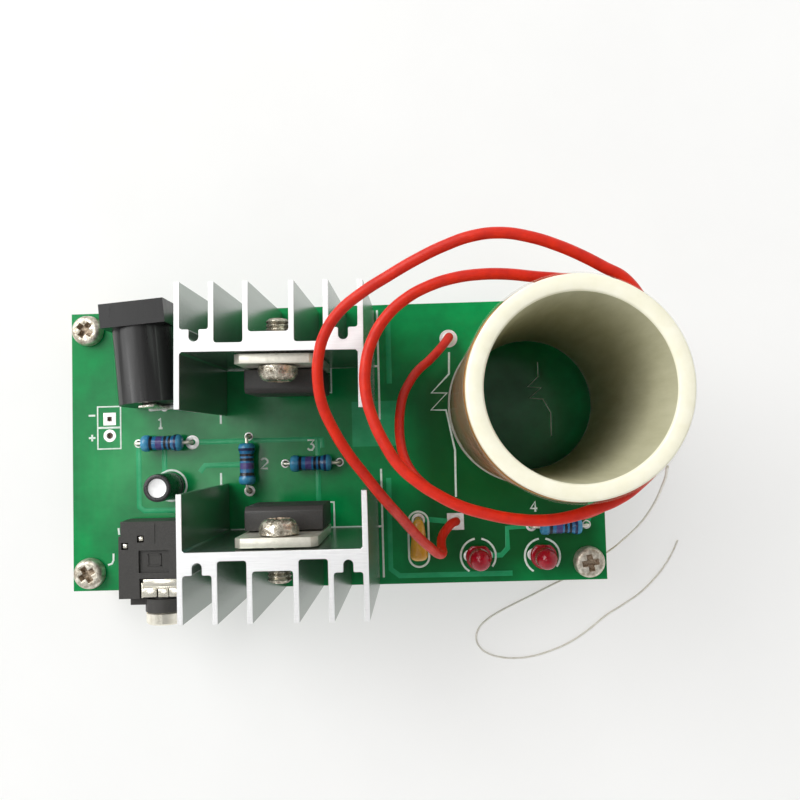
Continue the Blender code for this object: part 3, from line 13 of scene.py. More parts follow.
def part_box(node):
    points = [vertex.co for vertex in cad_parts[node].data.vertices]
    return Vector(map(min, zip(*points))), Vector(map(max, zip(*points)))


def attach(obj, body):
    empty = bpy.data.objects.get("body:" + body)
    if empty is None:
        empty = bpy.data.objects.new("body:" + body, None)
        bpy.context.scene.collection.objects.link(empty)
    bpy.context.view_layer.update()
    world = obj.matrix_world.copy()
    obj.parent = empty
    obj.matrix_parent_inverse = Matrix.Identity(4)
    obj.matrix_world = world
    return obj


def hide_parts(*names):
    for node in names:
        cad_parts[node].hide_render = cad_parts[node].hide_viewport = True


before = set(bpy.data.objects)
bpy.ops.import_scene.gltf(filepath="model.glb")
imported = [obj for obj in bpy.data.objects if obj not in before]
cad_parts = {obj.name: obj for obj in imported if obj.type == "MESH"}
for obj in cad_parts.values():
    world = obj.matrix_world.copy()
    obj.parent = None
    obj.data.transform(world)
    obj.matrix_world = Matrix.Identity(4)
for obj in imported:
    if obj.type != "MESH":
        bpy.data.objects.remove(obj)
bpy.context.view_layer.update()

# Standoffs: four hexagonal brass posts, cut from bar and threaded through.
# Both ends are chamfered in the lathe, so the corners of the hexagon are cut round.

MM = 0.001
BOARD_LOW, BOARD_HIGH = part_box("circuit_board")
BOARD = Matrix.Translation((BOARD_LOW[0], BOARD_LOW[1], BOARD_HIGH[2])) @ Matrix.Scale(MM, 4)


def colour(hex_value):
    """An sRGB hex colour as linear light."""
    channels = [int(hex_value[at : at + 2], 16) / 255 for at in (0, 2, 4)]
    return (*[c / 12.92 if c <= 0.04045 else ((c + 0.055) / 1.055) ** 2.4 for c in channels], 1)


def node(tree, kind, settings=(), links=()):
    """Adds a shader node with its settings, and links what feeds its sockets."""
    made = tree.nodes.new("ShaderNode" + kind)
    for name, value in dict(settings).items():
        if isinstance(name, int) or name in made.inputs:
            made.inputs[name].default_value = value
        else:
            setattr(made, name, value)
    for name, source in dict(links).items():
        tree.links.new(source, made.inputs[name])
    return made


def surface(name, dark, pale, roughness, lump, relief, stretch=(1, 1, 1), **sockets):
    """A Principled material, mottled between two colours, with a little relief.

    lump is the size of the mottling and relief how high it stands, both in millimetres.
    """
    made = bpy.data.materials.new(name)
    made.use_nodes = True
    tree = made.node_tree
    shader = tree.nodes["Principled BSDF"]
    for socket, value in sockets.items():
        shader.inputs[socket.replace("_", " ")].default_value = value
    where = node(tree, "TexCoord").outputs["Object"]
    spread = [1 / (lump * MM * way) for way in stretch]
    mapped = node(tree, "Mapping", {"Scale": spread}, {"Vector": where}).outputs[0]
    noise = node(tree, "TexNoise", {"Detail": 4.0, "Roughness": 0.6, "Scale": 1.0}, {"Vector": mapped})
    clear = {"From Min": 0.3, "From Max": 0.7}
    mottling = node(tree, "MapRange", clear, {"Value": noise.outputs[0]}).outputs[0]
    tones = {"data_type": "RGBA", 6: colour(dark), 7: colour(pale)}
    tone = node(tree, "Mix", tones, {0: mottling})
    tree.links.new(tone.outputs[2], shader.inputs["Base Color"])
    reach = {"To Min": roughness * 1.2, "To Max": roughness * 0.85}
    rough = node(tree, "MapRange", reach, {"Value": mottling})
    tree.links.new(rough.outputs[0], shader.inputs["Roughness"])
    if relief:
        raised = node(tree, "Bump", {"Strength": 1.0, "Distance": relief * MM}, {"Height": mottling})
        tree.links.new(raised.outputs[0], shader.inputs["Normal"])
    return made


def shaped(name, form, looks, swap=None, place=BOARD, body="kit", smooth=38):
    """One finished piece from a bmesh in millimetres, with its place in its mesh."""
    form.transform(place)
    mesh = bpy.data.meshes.new(name)
    form.to_mesh(mesh)
    form.free()
    mesh.shade_smooth()
    mesh.set_sharp_from_angle(angle=math.radians(smooth))
    for look in looks if isinstance(looks, (list, tuple)) else [looks]:
        mesh.materials.append(look)
    made = bpy.data.objects.new(name, mesh)
    bpy.context.scene.collection.objects.link(made)
    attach(made, body)
    if swap:
        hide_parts(swap)


def merged(part, flat):
    """A CAD node's mesh in metres, its triangles joined where they turn by less than flat."""
    form = bmesh.new()
    form.from_mesh(bpy.data.objects[part].data)
    bmesh.ops.remove_doubles(form, verts=form.verts, dist=0.002 * MM)
    bmesh.ops.dissolve_limit(form, angle_limit=flat, verts=form.verts, edges=form.edges)
    bmesh.ops.recalc_face_normals(form, faces=form.faces)
    return form


def corners(form, least):
    """The edges where two faces meet at more than an angle."""
    return [e for e in form.edges if e.is_manifold and e.calc_face_angle(0) > least]


def rounded(form, edges, width, segments):
    """Rounds some of a bmesh's edges by a width."""
    bmesh.ops.bevel(
        form,
        geom=edges,
        offset=width,
        offset_type="OFFSET",
        affect="EDGES",
        segments=segments,
        profile=0.5,
        clamp_overlap=True,
        material=-1,
    )


def carried(name, part, look, width, segments=2, body="kit"):
    """A piece with a CAD node's own shape, its sharp edges rounded by a width in mm."""
    form = merged(part, math.radians(1.5))
    rounded(form, corners(form, math.radians(30)), width * MM, segments)
    shaped(name, form, look, part, Matrix(), body)


# Turned brass: yellow, with fine rings left by the tool, dulled by handling.
brass = surface("turned_brass", "a98a45", "d2b266", 0.32, 1.5, 0.004, (1, 1, 0.05), Metallic=1.0)
for corner in ("front_left", "front_right", "back_left", "back_right"):
    carried("post_" + corner, "standoff_" + corner, brass, 0.25)

# Circuit board: woven glass in epoxy, 1.6 mm thick, with green solder mask on both faces.
# It is routed to size, so its edges show the bare laminate, and its holes are plated.

# Solder mask: liquid film cured over the laminate; glossy, with the weave just showing.
mask = surface("green_solder_mask", "02783f", "06984f", 0.2, 6.0, 0, IOR=1.5, Specular_IOR_Level=0.3)
tree = mask.node_tree
shader = tree.nodes["Principled BSDF"]
where = node(tree, "TexCoord").outputs["Object"]
# The mask is painted darker in a box under and beside the coil, as painted shade from the tube and its
# wires; the shade fades out across the box's edge.
SHADE_MIDDLE = Vector((66.0, 17.0, 0))
SHADE_HALF = (15.5, 17.0)
apart = node(tree, "VectorMath", {"operation": "SUBTRACT", 1: BOARD @ SHADE_MIDDLE}, {0: where})
sides = node(tree, "SeparateXYZ", {}, {0: apart.outputs[0]})
past = []
for way, half in enumerate(SHADE_HALF):
    across = node(tree, "Math", {"operation": "ABSOLUTE"}, {0: sides.outputs[way]})
    beyond = node(tree, "Math", {"operation": "SUBTRACT", 1: half * MM}, {0: across.outputs[0]})
    past.append(beyond.outputs[0])
edge = node(tree, "Math", {"operation": "MAXIMUM"}, {0: past[0], 1: past[1]})
soft = {"From Min": -4.0 * MM, "From Max": 1.0 * MM, "To Min": 0.8, "To Max": 0.0}
painted_shade = node(tree, "MapRange", soft, {"Value": edge.outputs[0]})
# Inside the tube's foot most of this painted shade is taken off again, so the mask there is paler.
TUBE = BOARD @ Matrix.Translation((68.896, 26.2, 0))
away = node(tree, "VectorMath", {"operation": "DISTANCE", 1: TUBE.translation}, {0: where})
within = {"From Min": 8.0 * MM, "From Max": 10.0 * MM, "To Min": 0.1, "To Max": 1.0}
shade_outside_tube = node(tree, "MapRange", within, {"Value": away.outputs["Value"]})
shade_share = node(tree, "Math", {"operation": "MULTIPLY"}, {0: painted_shade.outputs[0], 1: shade_outside_tube.outputs[0]})
# Where the painted shade falls, the mask's colour is mixed towards a darker green.
tone = shader.inputs["Base Color"].links[0].from_socket
shaded_tone = node(tree, "Mix", {"data_type": "RGBA", 7: colour("034a16")}, {0: shade_share.outputs[0], 6: tone})
tree.links.new(shaded_tone.outputs[2], shader.inputs["Base Color"])
# The glass yarns lie 0.55 mm apart.
YARN = 0.55 * MM
weave = []
for axis in ("X", "Y"):
    bands = {"wave_type": "BANDS", "bands_direction": axis, "Scale": 1 / (2 * YARN * math.pi)}
    bands.update({"Distortion": 1.2, "Detail": 1.0, "Detail Scale": 0.4})
    weave.append(node(tree, "TexWave", bands, {"Vector": where}).outputs["Fac"])
crossed = node(tree, "Math", {"operation": "ADD"}, {0: weave[0], 1: weave[1]})
cloth = node(tree, "Bump", {"Strength": 0.12, "Distance": 0.012 * MM}, {"Height": crossed.outputs[0]})
tree.links.new(cloth.outputs[0], shader.inputs["Normal"])

# Cut laminate: pale yellow-green layers of glass and resin, rough from the router.
laminate = surface("cut_glass_laminate", "7d8a4e", "b6b878", 0.6, 0.5, 0.02, (4, 4, 0.25))

# Solder: tin alloy that has run and set, bright with a faint frosting.
solder = surface("set_solder", "eceae5", "ffffff", 0.4, 0.6, 0.003, Metallic=0.6)
# Flux residue: brown varnish left by the solder's core, down in each hole.
flux = surface("flux_residue", "5a4436", "8a7058", 0.35, 0.4, 0.01, IOR=1.52)

form = merged("circuit_board", 0.02)
for face in form.faces:
    if abs(face.normal.z) < 0.5:
        x, y, z = face.calc_center_median()
        inset = min(x - BOARD_LOW[0], BOARD_HIGH[0] - x, y - BOARD_LOW[1], BOARD_HIGH[1] - y)
        face.material_index = 1 if inset < MM else 2
shaped("masked_board", form, [mask, laminate, solder], "circuit_board", Matrix())


def spun(profile, steps=64, turn=None, form=None):
    """A profile of radius and height, turned all round the Z axis."""
    lathe = bmesh.new()
    row = [lathe.verts.new((radius, 0, height)) for radius, height in profile]
    after = row[1:] + row[:1] if profile[0][0] > 0 else row[1:]
    edges = [lathe.edges.new(pair) for pair in zip(row, after)]
    bmesh.ops.spin(
        lathe,
        geom=row + edges,
        axis=(0, 0, 1),
        cent=(0, 0, 0),
        angle=2 * math.pi,
        steps=steps,
        use_merge=True,
    )
    bmesh.ops.remove_doubles(lathe, verts=lathe.verts, dist=0.0001)
    bmesh.ops.dissolve_degenerate(lathe, edges=lathe.edges, dist=0.0001)
    # A spin leaves its faces in any order, so they are sorted, to be the same each run.
    lathe.verts.index_update()
    count = len(lathe.verts)
    lathe.faces.sort(key=lambda face: sum(v.index * count**n for n, v in enumerate(face.verts[:3])))
    return gathered(form, lathe, turn)


def gathered(form, addition, turn=None):
    """Adds one bmesh, turned if asked, to another, and returns the whole."""
    bmesh.ops.recalc_face_normals(addition, faces=addition.faces)
    if turn:
        addition.transform(turn)
    if form is None:
        return addition
    carrier = bpy.data.meshes.new("carrier")
    addition.to_mesh(carrier)
    addition.free()
    form.from_mesh(carrier)
    bpy.data.meshes.remove(carrier)
    return form


def stroked(lines, width, height, form=None, level=0.0):
    """Lines of a given width, as low ridges; each line is its points, closed if they meet."""
    curve = bpy.data.curves.new("strokes", "CURVE")
    curve.dimensions = "3D"
    curve.bevel_depth = width / 2
    curve.bevel_resolution = 3
    curve.use_fill_caps = True
    for points in lines:
        closed = len(points) > 2 and points[0] == points[-1]
        points = points[:-1] if closed else points
        spline = curve.splines.new("POLY")
        spline.points.add(len(points) - 1)
        spline.use_cyclic_u = closed
        for control, point in zip(spline.points, points):
            control.co = (point[0], point[1], point[2] if len(point) > 2 else 0, 1)
    carrier = bpy.data.objects.new("strokes", curve)
    bpy.context.scene.collection.objects.link(carrier)
    seen = carrier.evaluated_get(bpy.context.evaluated_depsgraph_get())
    mesh = bpy.data.meshes.new_from_object(seen)
    strokes = bmesh.new()
    strokes.from_mesh(mesh)
    # The curve's end caps are loose, so they are merged on.
    bmesh.ops.remove_doubles(strokes, verts=strokes.verts, dist=0.0001)
    bpy.data.objects.remove(carrier)
    bpy.data.curves.remove(curve)
    bpy.data.meshes.remove(mesh)
    if height:
        flattened = Matrix.Diagonal((1, 1, height * 2 / width, 1))
        strokes.transform(Matrix.Translation((0, 0, level)) @ flattened)
    return gathered(form, strokes)


def loop(x, y, radius, start=0.0, end=360.0, steps=48):
    """Points round a circle, or along part of it."""
    angles = [math.radians(start + (end - start) * step / steps) for step in range(steps + 1)]
    points = [(x + radius * math.cos(a), y + radius * math.sin(a)) for a in angles]
    return points[:-1] + points[:1] if end - start == 360 else points


# Tracks: copper under the mask, which stands a little proud and looks paler there.
tracked = surface("mask_over_copper", "1a9a60", "34ad74", 0.22, 3.0, 0, IOR=1.5, Specular_IOR_Level=0.3)
TRACK_WIDTH = 0.78
PRINT_RISE = 0.03
tracks = [
    [(18.3, 21.95), (38.0, 21.95), (38.0, 20.6)],
    [(10.1, 21.6), (10.1, 12.4), (10.9, 11.8), (16.6, 11.8)],
    [(14.04, 21.6), (14.04, 15.5)],
    [(25.6, 18.4), (20.2, 18.4), (19.4, 17.4)],
    [(37.3, 22.0), (37.3, 11.6)],
    [(48.4, 40.6), (48.4, 30.0)],
    [(47.9, 15.8), (47.9, 2.2), (49.2, 1.2), (66.0, 1.2)],
    [(52.4, 9.6), (56.6, 9.1)],
    [(62.2, 3.9), (64.4, 3.9), (65.4, 4.9), (65.4, 7.9), (69.0, 8.15)],
    [(77.2, 8.15), (77.8, 9.6), (78.2, 14.9)],
]
form = stroked(tracks, TRACK_WIDTH, PRINT_RISE)
plate = bmesh.new()
middle = Matrix.Translation((46.3, 24.0, 0.006))
bmesh.ops.create_cube(plate, size=1, matrix=middle @ Matrix.Diagonal((7.4, 6.8, 0.016, 1)))
shaped("copper_tracks", gathered(form, plate), tracked)

# Printed ink: pale epoxy ink, matt, laid down through a screen a little unevenly.
ink = surface("screened_ink", "cfe6d8", "f3faf3", 0.55, 0.5, 0.004, IOR=1.5)
marks = [
    [(3.87, 21.3), (7.39, 21.3), (7.39, 27.7), (3.87, 27.7), (3.87, 21.3)],
    [(3.87, 24.5), (7.39, 24.5)],
    [(2.5, 26.4), (3.5, 26.4)],
    [(2.5, 23.0), (3.5, 23.0)],
    [(3.0, 22.5), (3.0, 23.5)],
    [(57.54, 34.5), (57.44, 31.2), (54.7, 28.4), (57.05, 28.33)]
    + [(54.57, 25.83), (56.83, 25.77), (58.0, 19.7), (57.93, 12.7)],
    [(22.7, 24.6), (22.7, 41.2)],
    [(46.8, 24.6), (46.8, 41.2)],
    [(22.6, 17.2), (22.6, 1.0)],
    [(46.8, 17.2), (46.8, 1.0)],
    [(22.7, 32.7), (46.8, 32.7)],
    [(22.6, 8.6), (46.8, 8.6)],
    [(30.6, 28.9), (39.6, 28.9), (39.6, 32.7)],
    [(30.6, 12.4), (39.6, 12.4), (39.6, 8.6)],
    [(5.25, 3.8), (5.85, 4.0), (6.1, 4.5), (6.1, 5.5)],
    [(7.0, 8.3), (6.9, 9.3)],
    loop(15.04, 15.5, 2.3),
    loop(60.98, 3.84, 2.6, 100, 238, 24),
    loop(60.98, 3.84, 2.6, -38, 78, 24),
    loop(70.52, 3.62, 2.6, 100, 238, 24),
    loop(70.52, 3.62, 2.6, -38, 78, 24),
    loop(52.17, 9.14, 1.5, 0, 180, 24) + loop(52.17, 3.94, 1.5, 180, 360, 24) + [(53.67, 9.14)],
]
# Plain digits beside the four resistors, each drawn in a cell 1.0 by 1.5 mm.
digits = {
    1: [[(0.2, 1.2), (0.5, 1.5), (0.5, 0)], [(0.2, 0), (0.8, 0)]],
    2: [[(0, 1.3), (0.3, 1.5), (0.7, 1.5), (1, 1.2), (1, 0.9), (0, 0), (1, 0)]],
    3: [[(0, 1.5), (1, 1.5), (0.5, 0.9), (0.8, 0.85), (1, 0.5), (0.7, 0), (0.3, 0), (0, 0.25)]],
    4: [[(0.7, 0), (0.7, 1.5), (0, 0.5), (1, 0.5)]],
}
for digit, x, y in ((1, 13.0, 24.2), (2, 28.7, 17.7), (3, 35.8, 20.3), (4, 69.0, 10.2)):
    marks += [[(x + a, y + b) for a, b in line] for line in digits[digit]]
form = stroked(marks, 0.3, PRINT_RISE, level=0.012)
# The symbol inside the tube is printed finer.
inner = [(70.8, 32.6), (70.8, 30.4), (69.2, 28.9), (71.2, 28.7)]
inner += [(69.4, 27.2), (71.4, 27.0), (72.5, 25.0), (72.5, 21.4)]
form = stroked([inner], 0.16, PRINT_RISE, form, level=0.012)
shaped("screened_marks", form, ink)


def soldered(name, places, hole=0.42, pad=1.0):
    """Tinned pads on both faces; the solder stands in each hole and cones round the lead below."""
    form = None
    for x, y in places:
        spot = Matrix.Translation((x, y, 0))
        upper = [(hole, -0.05), (pad, -0.05), (pad, 0.03), (pad * 0.93, 0.045), (hole * 1.1, 0.045)]
        form = spun(upper, 28, spot, form)
        under = [(0, -0.4), (hole, -0.45), (hole, -1.58), (pad, -1.58), (pad, -1.64)]
        under += [(pad * 0.8, -1.75), (0.45, -2.2), (0.36, -2.75), (0, -2.8)]
        form = spun(under, 28, spot, form)
    for face in form.faces:
        face.material_index = 1 if -0.5 < face.calc_center_median().z < -0.3 else 0
    shaped(name, form, [solder, flux])


def open_pad(name, x, y, pad, hole, square=False):
    """A tinned pad on each face, with flux in its hole."""
    turn = Matrix.Translation((x, y, 0)) @ Matrix.Rotation(math.pi / 4, 4, "Z")
    steps = 4 if square else 32
    reach = pad * math.sqrt(2) if square else pad
    form = None
    for face in (0.0, -1.6):
        ring = [(hole, face - 0.04), (reach, face - 0.04), (reach, face + 0.04), (hole, face + 0.04)]
        form = spun(ring, steps, turn, form)
    form = spun([(0, -0.9), (hole, -0.9), (hole, -0.6), (0, -0.6)], 32, turn, form)
    for face in form.faces:
        face.material_index = 1 if -1.0 < face.calc_center_median().z < -0.5 else 0
    shaped(name, form, [solder, flux])


# The header place beside the power socket is left empty: one square pad and one round one.
open_pad("header_pad_square", 5.7, 25.82, 0.95, 0.5, True)
open_pad("header_pad_round", 5.7, 23.28, 0.95, 0.5)

# Board screws: four M2.5 pan head machine screws with a cross recess, down into the posts.
# Nickel plated steel, cold headed, with a rolled thread; the recess is worn by the driver.


def carved(form, cuts=(), joins=()):
    """A bmesh with others joined to it and cut out of it, by exact booleans."""
    helpers = []
    for shape in [form, *joins, *cuts]:
        bmesh.ops.recalc_face_normals(shape, faces=shape.faces)
        mesh = bpy.data.meshes.new("carving")
        shape.to_mesh(mesh)
        shape.free()
        helper = bpy.data.objects.new("carving", mesh)
        bpy.context.scene.collection.objects.link(helper)
        helpers.append(helper)
    for number, helper in enumerate(helpers[1:]):
        step = helpers[0].modifiers.new("step", "BOOLEAN")
        step.operation = "UNION" if number < len(joins) else "DIFFERENCE"
        step.solver = "EXACT"
        step.object = helper
    seen = helpers[0].evaluated_get(bpy.context.evaluated_depsgraph_get())
    mesh = bpy.data.meshes.new_from_object(seen)
    made = bmesh.new()
    made.from_mesh(mesh)
    for helper in helpers:
        spent = helper.data
        bpy.data.objects.remove(helper)
        bpy.data.meshes.remove(spent)
    bpy.data.meshes.remove(mesh)
    bmesh.ops.remove_doubles(made, verts=made.verts, dist=0.0005)
    return made


def block(low, high):
    """A plain box between two corners, to be carved or rounded."""
    form = bmesh.new()
    size = Vector(high) - Vector(low)
    middle = Matrix.Translation((Vector(low) + Vector(high)) / 2)
    bmesh.ops.create_cube(form, size=1, matrix=middle @ Matrix.Diagonal((*size, 1)))
    return form


def pan_screw(radius, length, head, rise, pitch, crown=0.52):
    """A pan head screw on Z = 0: its thread below, a recess in its head; crown is its flat share."""
    profile = [(0, -length), (radius * 0.75, -length)]
    turns = int((length - 0.6) / pitch)
    for number in range(turns):
        z = -length + 0.15 + number * pitch
        profile += [(radius * 0.86, z), (radius, z + pitch * 0.4), (radius, z + pitch * 0.55)]
    profile += [(radius * 0.86, -0.3), (radius * 0.86, 0), (head, 0), (head, rise * 0.22)]
    for step in range(1, 9):
        angle = math.radians(90 * step / 8)
        reach = crown + (1 - crown) * math.cos(angle)
        profile.append((head * reach, rise * (0.22 + 0.78 * math.sin(angle))))
    profile.append((0, rise))
    form = spun(profile, 48)
    cuts = []
    for turn in (0, 90):
        arm = block((-head * 0.72, -head * 0.24, rise * 0.5), (head * 0.72, head * 0.24, rise + 1))
        for vert in arm.verts:
            if vert.co.z < rise:
                vert.co.x *= 0.55
                vert.co.y *= 0.6
        arm.transform(Matrix.Rotation(math.radians(turn), 4, "Z"))
        cuts.append(arm)
    made = carved(form, cuts)
    for face in made.faces:
        spot = face.calc_center_median()
        sunk = 0.4 * rise < spot.z < 0.94 * rise and math.hypot(spot.x, spot.y) < 0.73 * head
        face.material_index = 1 if sunk else 0
    rims = [edge for edge in corners(made, 0.6) if edge.verts[0].co.z > rise * 0.6]
    rounded(made, rims, 0.07, 2)
    return made


# Worn nickel plate: warm silver, scratched and dulled to grey-brown in patches.
nickel = surface("worn_nickel_plate", "968a76", "f6f1e2", 0.36, 0.7, 0.05, Metallic=0.75)
# The recess is rubbed through to the steel: brown and rough.
rubbed = surface("rubbed_steel", "6f5b49", "cdbba2", 0.45, 0.35, 0.02, Metallic=0.5)
BOARD_LENGTH = 80
BOARD_WIDTH = 42
INSET = 2.7
# Each part stands this far above the laminate, on mask and print.
LIFT = 0.2
for corner, x, y, share in (
    ("front_left", INSET, INSET, 0.35),
    ("front_right", BOARD_LENGTH - INSET, INSET, 0.10),
    ("back_left", INSET, BOARD_WIDTH - INSET, 0.60),
    ("back_right", BOARD_LENGTH - INSET, BOARD_WIDTH - INSET, 0.80),
):
    place = BOARD @ Matrix.Translation((x, y, LIFT)) @ Matrix.Rotation(math.pi / 2 * share, 4, "Z")
    form = pan_screw(radius=1.25, length=6.0, head=2.3, rise=1.6, pitch=0.45, crown=0.7)
    screw = "board_screw_" + corner
    shaped("pan_screw_" + corner, form, [nickel, rubbed], screw, place)

# Heatsinks: two blocks sawn from an aluminium extrusion, fins outwards.
# The walls keep the die's fine lengthwise lines; the sawn ends are bright and a little rough.

# Extruded aluminium, as drawn: satin, with fine streaks along the extrusion, here upright.
# Its polish is even, so its roughness is one plain value.
# Its grey is tinted green and darker, as painted reflection of the green board around it.
drawn = surface("drawn_aluminium", "9aa29c", "a4aca6", 0.26, 1.6, 0, (1, 1, 40), Metallic=0.88)
polish = drawn.node_tree.nodes["Principled BSDF"].inputs["Roughness"]
drawn.node_tree.links.remove(polish.links[0])
polish.default_value = 0.26
# Sawn aluminium: bright end grain with shallow arcs from the blade.
sawn = surface("sawn_aluminium", "f5f5f5", "ffffff", 0.5, 0.3, 0.006, (9, 0.6, 1), Metallic=1.0)


def sink_outline():
    """The extruded section, with the web's inner face on Y = 0 and the fins towards +Y."""
    fins = [-11.2, -7.0, -2.8, 2.8, 7.0, 11.2]
    half = 0.34
    keyed = 2.75
    floors = [keyed, 1.1, 2.4, 1.1, keyed]
    points = [(fins[0] - half, -7.0)]
    for number, x in enumerate(fins):
        points += [(x - half, 8.54), (x - 0.28, 8.6), (x + 0.28, 8.6), (x + half, 8.54)]
        if x == fins[-1]:
            break
        floor = floors[number]
        after = fins[number + 1] - half
        points += [(x + half, floor + 0.3), (x + 0.43, floor + 0.09), (x + 0.64, floor)]
        if floor == keyed:
            middle = (x + half + after) / 2
            points += [(middle - 0.72, floor), (middle - 0.6, floor - 0.12)]
            points += loop(middle, floor - 0.9, 0.6, 180, 360, 10)
            points += [(middle + 0.6, floor - 0.12), (middle + 0.72, floor)]
        points += [(after - 0.3, floor), (after - 0.09, floor + 0.09), (after, floor + 0.3)]
    points += [(11.54, -7.0), (10.86, -7.0), (10.86, -0.25), (10.6, 0)]
    return points + [(-10.6, 0), (-10.86, -0.25), (-10.86, -7.0)]


def extruded(outline, travel):
    """A closed outline of points, pulled along into a solid."""
    form = bmesh.new()
    base = form.faces.new([form.verts.new(point) for point in outline])
    pulled = bmesh.ops.extrude_face_region(form, geom=[base])
    moved = [item for item in pulled["geom"] if isinstance(item, bmesh.types.BMVert)]
    bmesh.ops.translate(form, vec=travel, verts=moved)
    return form


SINK_X = (sum(corner[0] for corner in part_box("lower_heatsink")) / 2 - BOARD_LOW[0]) / MM
SINK_HEIGHT = 25
SCREW_HEIGHT = 21.2
# Each has its side, its web's place across the board, its turn, and its screw's shift sideways.
SINKS = (
    ("upper", 0.7776 * BOARD_WIDTH, math.radians(-0.8), 0.5),
    ("lower", 0.2048 * BOARD_WIDTH, math.pi, -0.2),
)
for side, y, turn, offset in SINKS:
    form = extruded([(a, b, LIFT) for a, b in sink_outline()], (0, 0, SINK_HEIGHT))
    bore = spun([(0, -2), (1.7, -2), (1.7, 6), (0, 6)], 40)
    bore.transform(Matrix.Translation((offset, 0, SCREW_HEIGHT)) @ Matrix.Rotation(-math.pi / 2, 4, "X"))
    form = carved(form, [bore])
    for face in form.faces:
        face.material_index = 1 if abs(face.normal.z) > 0.9 else 0
    rims = [edge for edge in corners(form, 1.0) if abs(edge.verts[0].co.z - edge.verts[1].co.z) < 0.01]
    half = SINK_HEIGHT / 2
    rims = [edge for edge in rims if abs(abs(edge.verts[0].co.z - LIFT - half) - half) < 0.01]
    rounded(form, rims, 0.06, 1)
    place = BOARD @ Matrix.Translation((SINK_X, y, 0)) @ Matrix.Rotation(turn, 4, "Z")
    shaped("finned_block_" + side, form, [drawn, sawn], side + "_heatsink", place)

# Power transistors: a tinned copper tab with the middle lead, moulded over in dark epoxy.
# Each is clamped to its heatsink's web by an M3 screw through the tab.

# Tinned copper strip: dull silver with faint lengthwise rolling lines.
tinned = surface("tinned_strip", "dfdccd", "f4f1e4", 0.36, 0.8, 0.002, (1, 1, 8), Metallic=0.7)
# Moulding compound: filled epoxy, dark neutral grey and matt, with a fine grit from the mould.
moulded = surface("moulding_compound", "2d2c2b", "403e3c", 0.5, 0.12, 0.006, IOR=1.55)
# Zinc plate with a yellow rinse: small facets flash white beside dark bronze ones.
yellowed = surface("yellowed_zinc_plate", "5f523c", "fff8e6", 0.25, 0.55, 0.05, Metallic=0.8)
LEAD_STEP = 2.54
for side, y, turn, offset in SINKS:
    carried("tinned_tab_" + side, side + "_transistor_tab", tinned, 0.08)
    carried("moulded_case_" + side, side + "_transistor_case", moulded, 0.12)
    spin = Matrix.Rotation(turn, 4, "Z")
    place = BOARD @ Matrix.Translation((SINK_X, y, 0)) @ spin @ Matrix.Translation((offset, 0, 0))
    for hand in ("left", "right"):
        lead = side + "_transistor_lead_" + hand
        carried("tinned_lead_%s_%s" % (side, hand), lead, tinned, 0.04, 1)
    # The mould leaves a shallow round ejector mark on the case's face.
    mark = spun([(0.95, -0.01), (1.15, -0.01), (1.15, 0.03), (0.95, 0.03)], 40)
    mark.transform(Matrix.Translation((2.6, -4.7, 15.5)) @ Matrix.Rotation(math.pi / 2, 4, "X"))
    shaped("ejector_mark_" + side, mark, moulded, place=place)
    form = pan_screw(radius=1.5, length=6.0, head=2.5, rise=1.9, pitch=0.5)
    form.transform(Matrix.Translation((0, -1.6, SCREW_HEIGHT)) @ Matrix.Rotation(math.pi / 2, 4, "X"))
    screw = side + "_transistor_screw"
    shaped("clamp_screw_" + side, form, [yellowed, rubbed], screw, place)
    feet = [spin @ Vector((offset + step * LEAD_STEP, -2.8, 0)) for step in (-1, 0, 1)]
    soldered("transistor_joints_" + side, [(SINK_X + foot.x, y + foot.y) for foot in feet], 0.5, 0.95)

# Power socket: a moulded block and barrel with a centre pin, for a round power plug.
# Glossy black nylon; strips of nickel plated brass come out at its back and underneath.

# Black nylon: charcoal under bright light, polished by its mould, with faint flow lines.
nylon = surface(
    "black_nylon", "161616", "201f1f", 0.3, 1.2, 0.004, (1, 6, 1), IOR=1.53, Specular_IOR_Level=0.4
)
# Bright contact plate: nickel over brass, nearly a mirror.
contact = surface("bright_contact_plate", "ebe5d3", "fffbee", 0.2, 1.2, 0.001, Metallic=0.75)
spin = Matrix.Translation((0.1690 * BOARD_LENGTH, 0.8270 * BOARD_WIDTH, 0))
spin = spin @ Matrix.Rotation(math.radians(4.6), 4, "Z")
SOCKET = BOARD @ spin
SOCKET_LENGTH = 14.2
SOCKET_END = SOCKET_LENGTH / 2
BARREL_RADIUS = 4.3
BARREL_HEIGHT = 6.4

outline = loop(0, BARREL_HEIGHT, BARREL_RADIUS, 0, 180, 48)
outline = [(BARREL_RADIUS, LIFT), *outline, (-BARREL_RADIUS, LIFT)]
form = extruded([(x, -SOCKET_END, z) for x, z in outline], (0, SOCKET_LENGTH, 0))
head = block((-4.55, 3.7, LIFT), (4.55, SOCKET_END, 11.1))
along = Matrix.Translation((0, 0, BARREL_HEIGHT)) @ Matrix.Rotation(-math.pi / 2, 4, "X")
bore = spun([(0, -2.9), (3.15, -2.9), (3.15, 6.8), (3.5, 7.15), (3.5, 8), (0, 8)], 64)
bore.transform(along)
passage = spun([(0, -9), (1.2, -9), (1.2, 0), (0, 0)], 32)
passage.transform(along)
cuts = [bore, passage]
cuts += [block((-1.3, -2.7, -1), (1.3, -2.0, 6.4)), block((-1.3, -2.1, 0.95), (1.3, 5.0, 6.4))]
cuts += [block((0, 3.6, 2.35), (3.75, 4.9, 3.05)), block((3.05, 3.6, -1), (3.75, 4.9, 3.0))]
form = carved(form, cuts, [head])
rounded(form, corners(form, 0.8), 0.16, 3)
shaped("power_socket_body", form, nylon, "power_jack_housing", SOCKET)
carried("power_pin", "power_jack_pin", contact, 0.05)
for name in ("power_sleeve_terminal", "power_switch_terminal"):
    carried("plated_" + name, name, contact, 0.04, 1)
name = "power_sleeve_spring"
carried("plated_" + name, name, contact, 0.04, 1, body=name)
feet = [spin @ Vector(foot) for foot in ((0, -7.4, 0), (0, -2.4, 0), (3.4, 4.3, 0))]
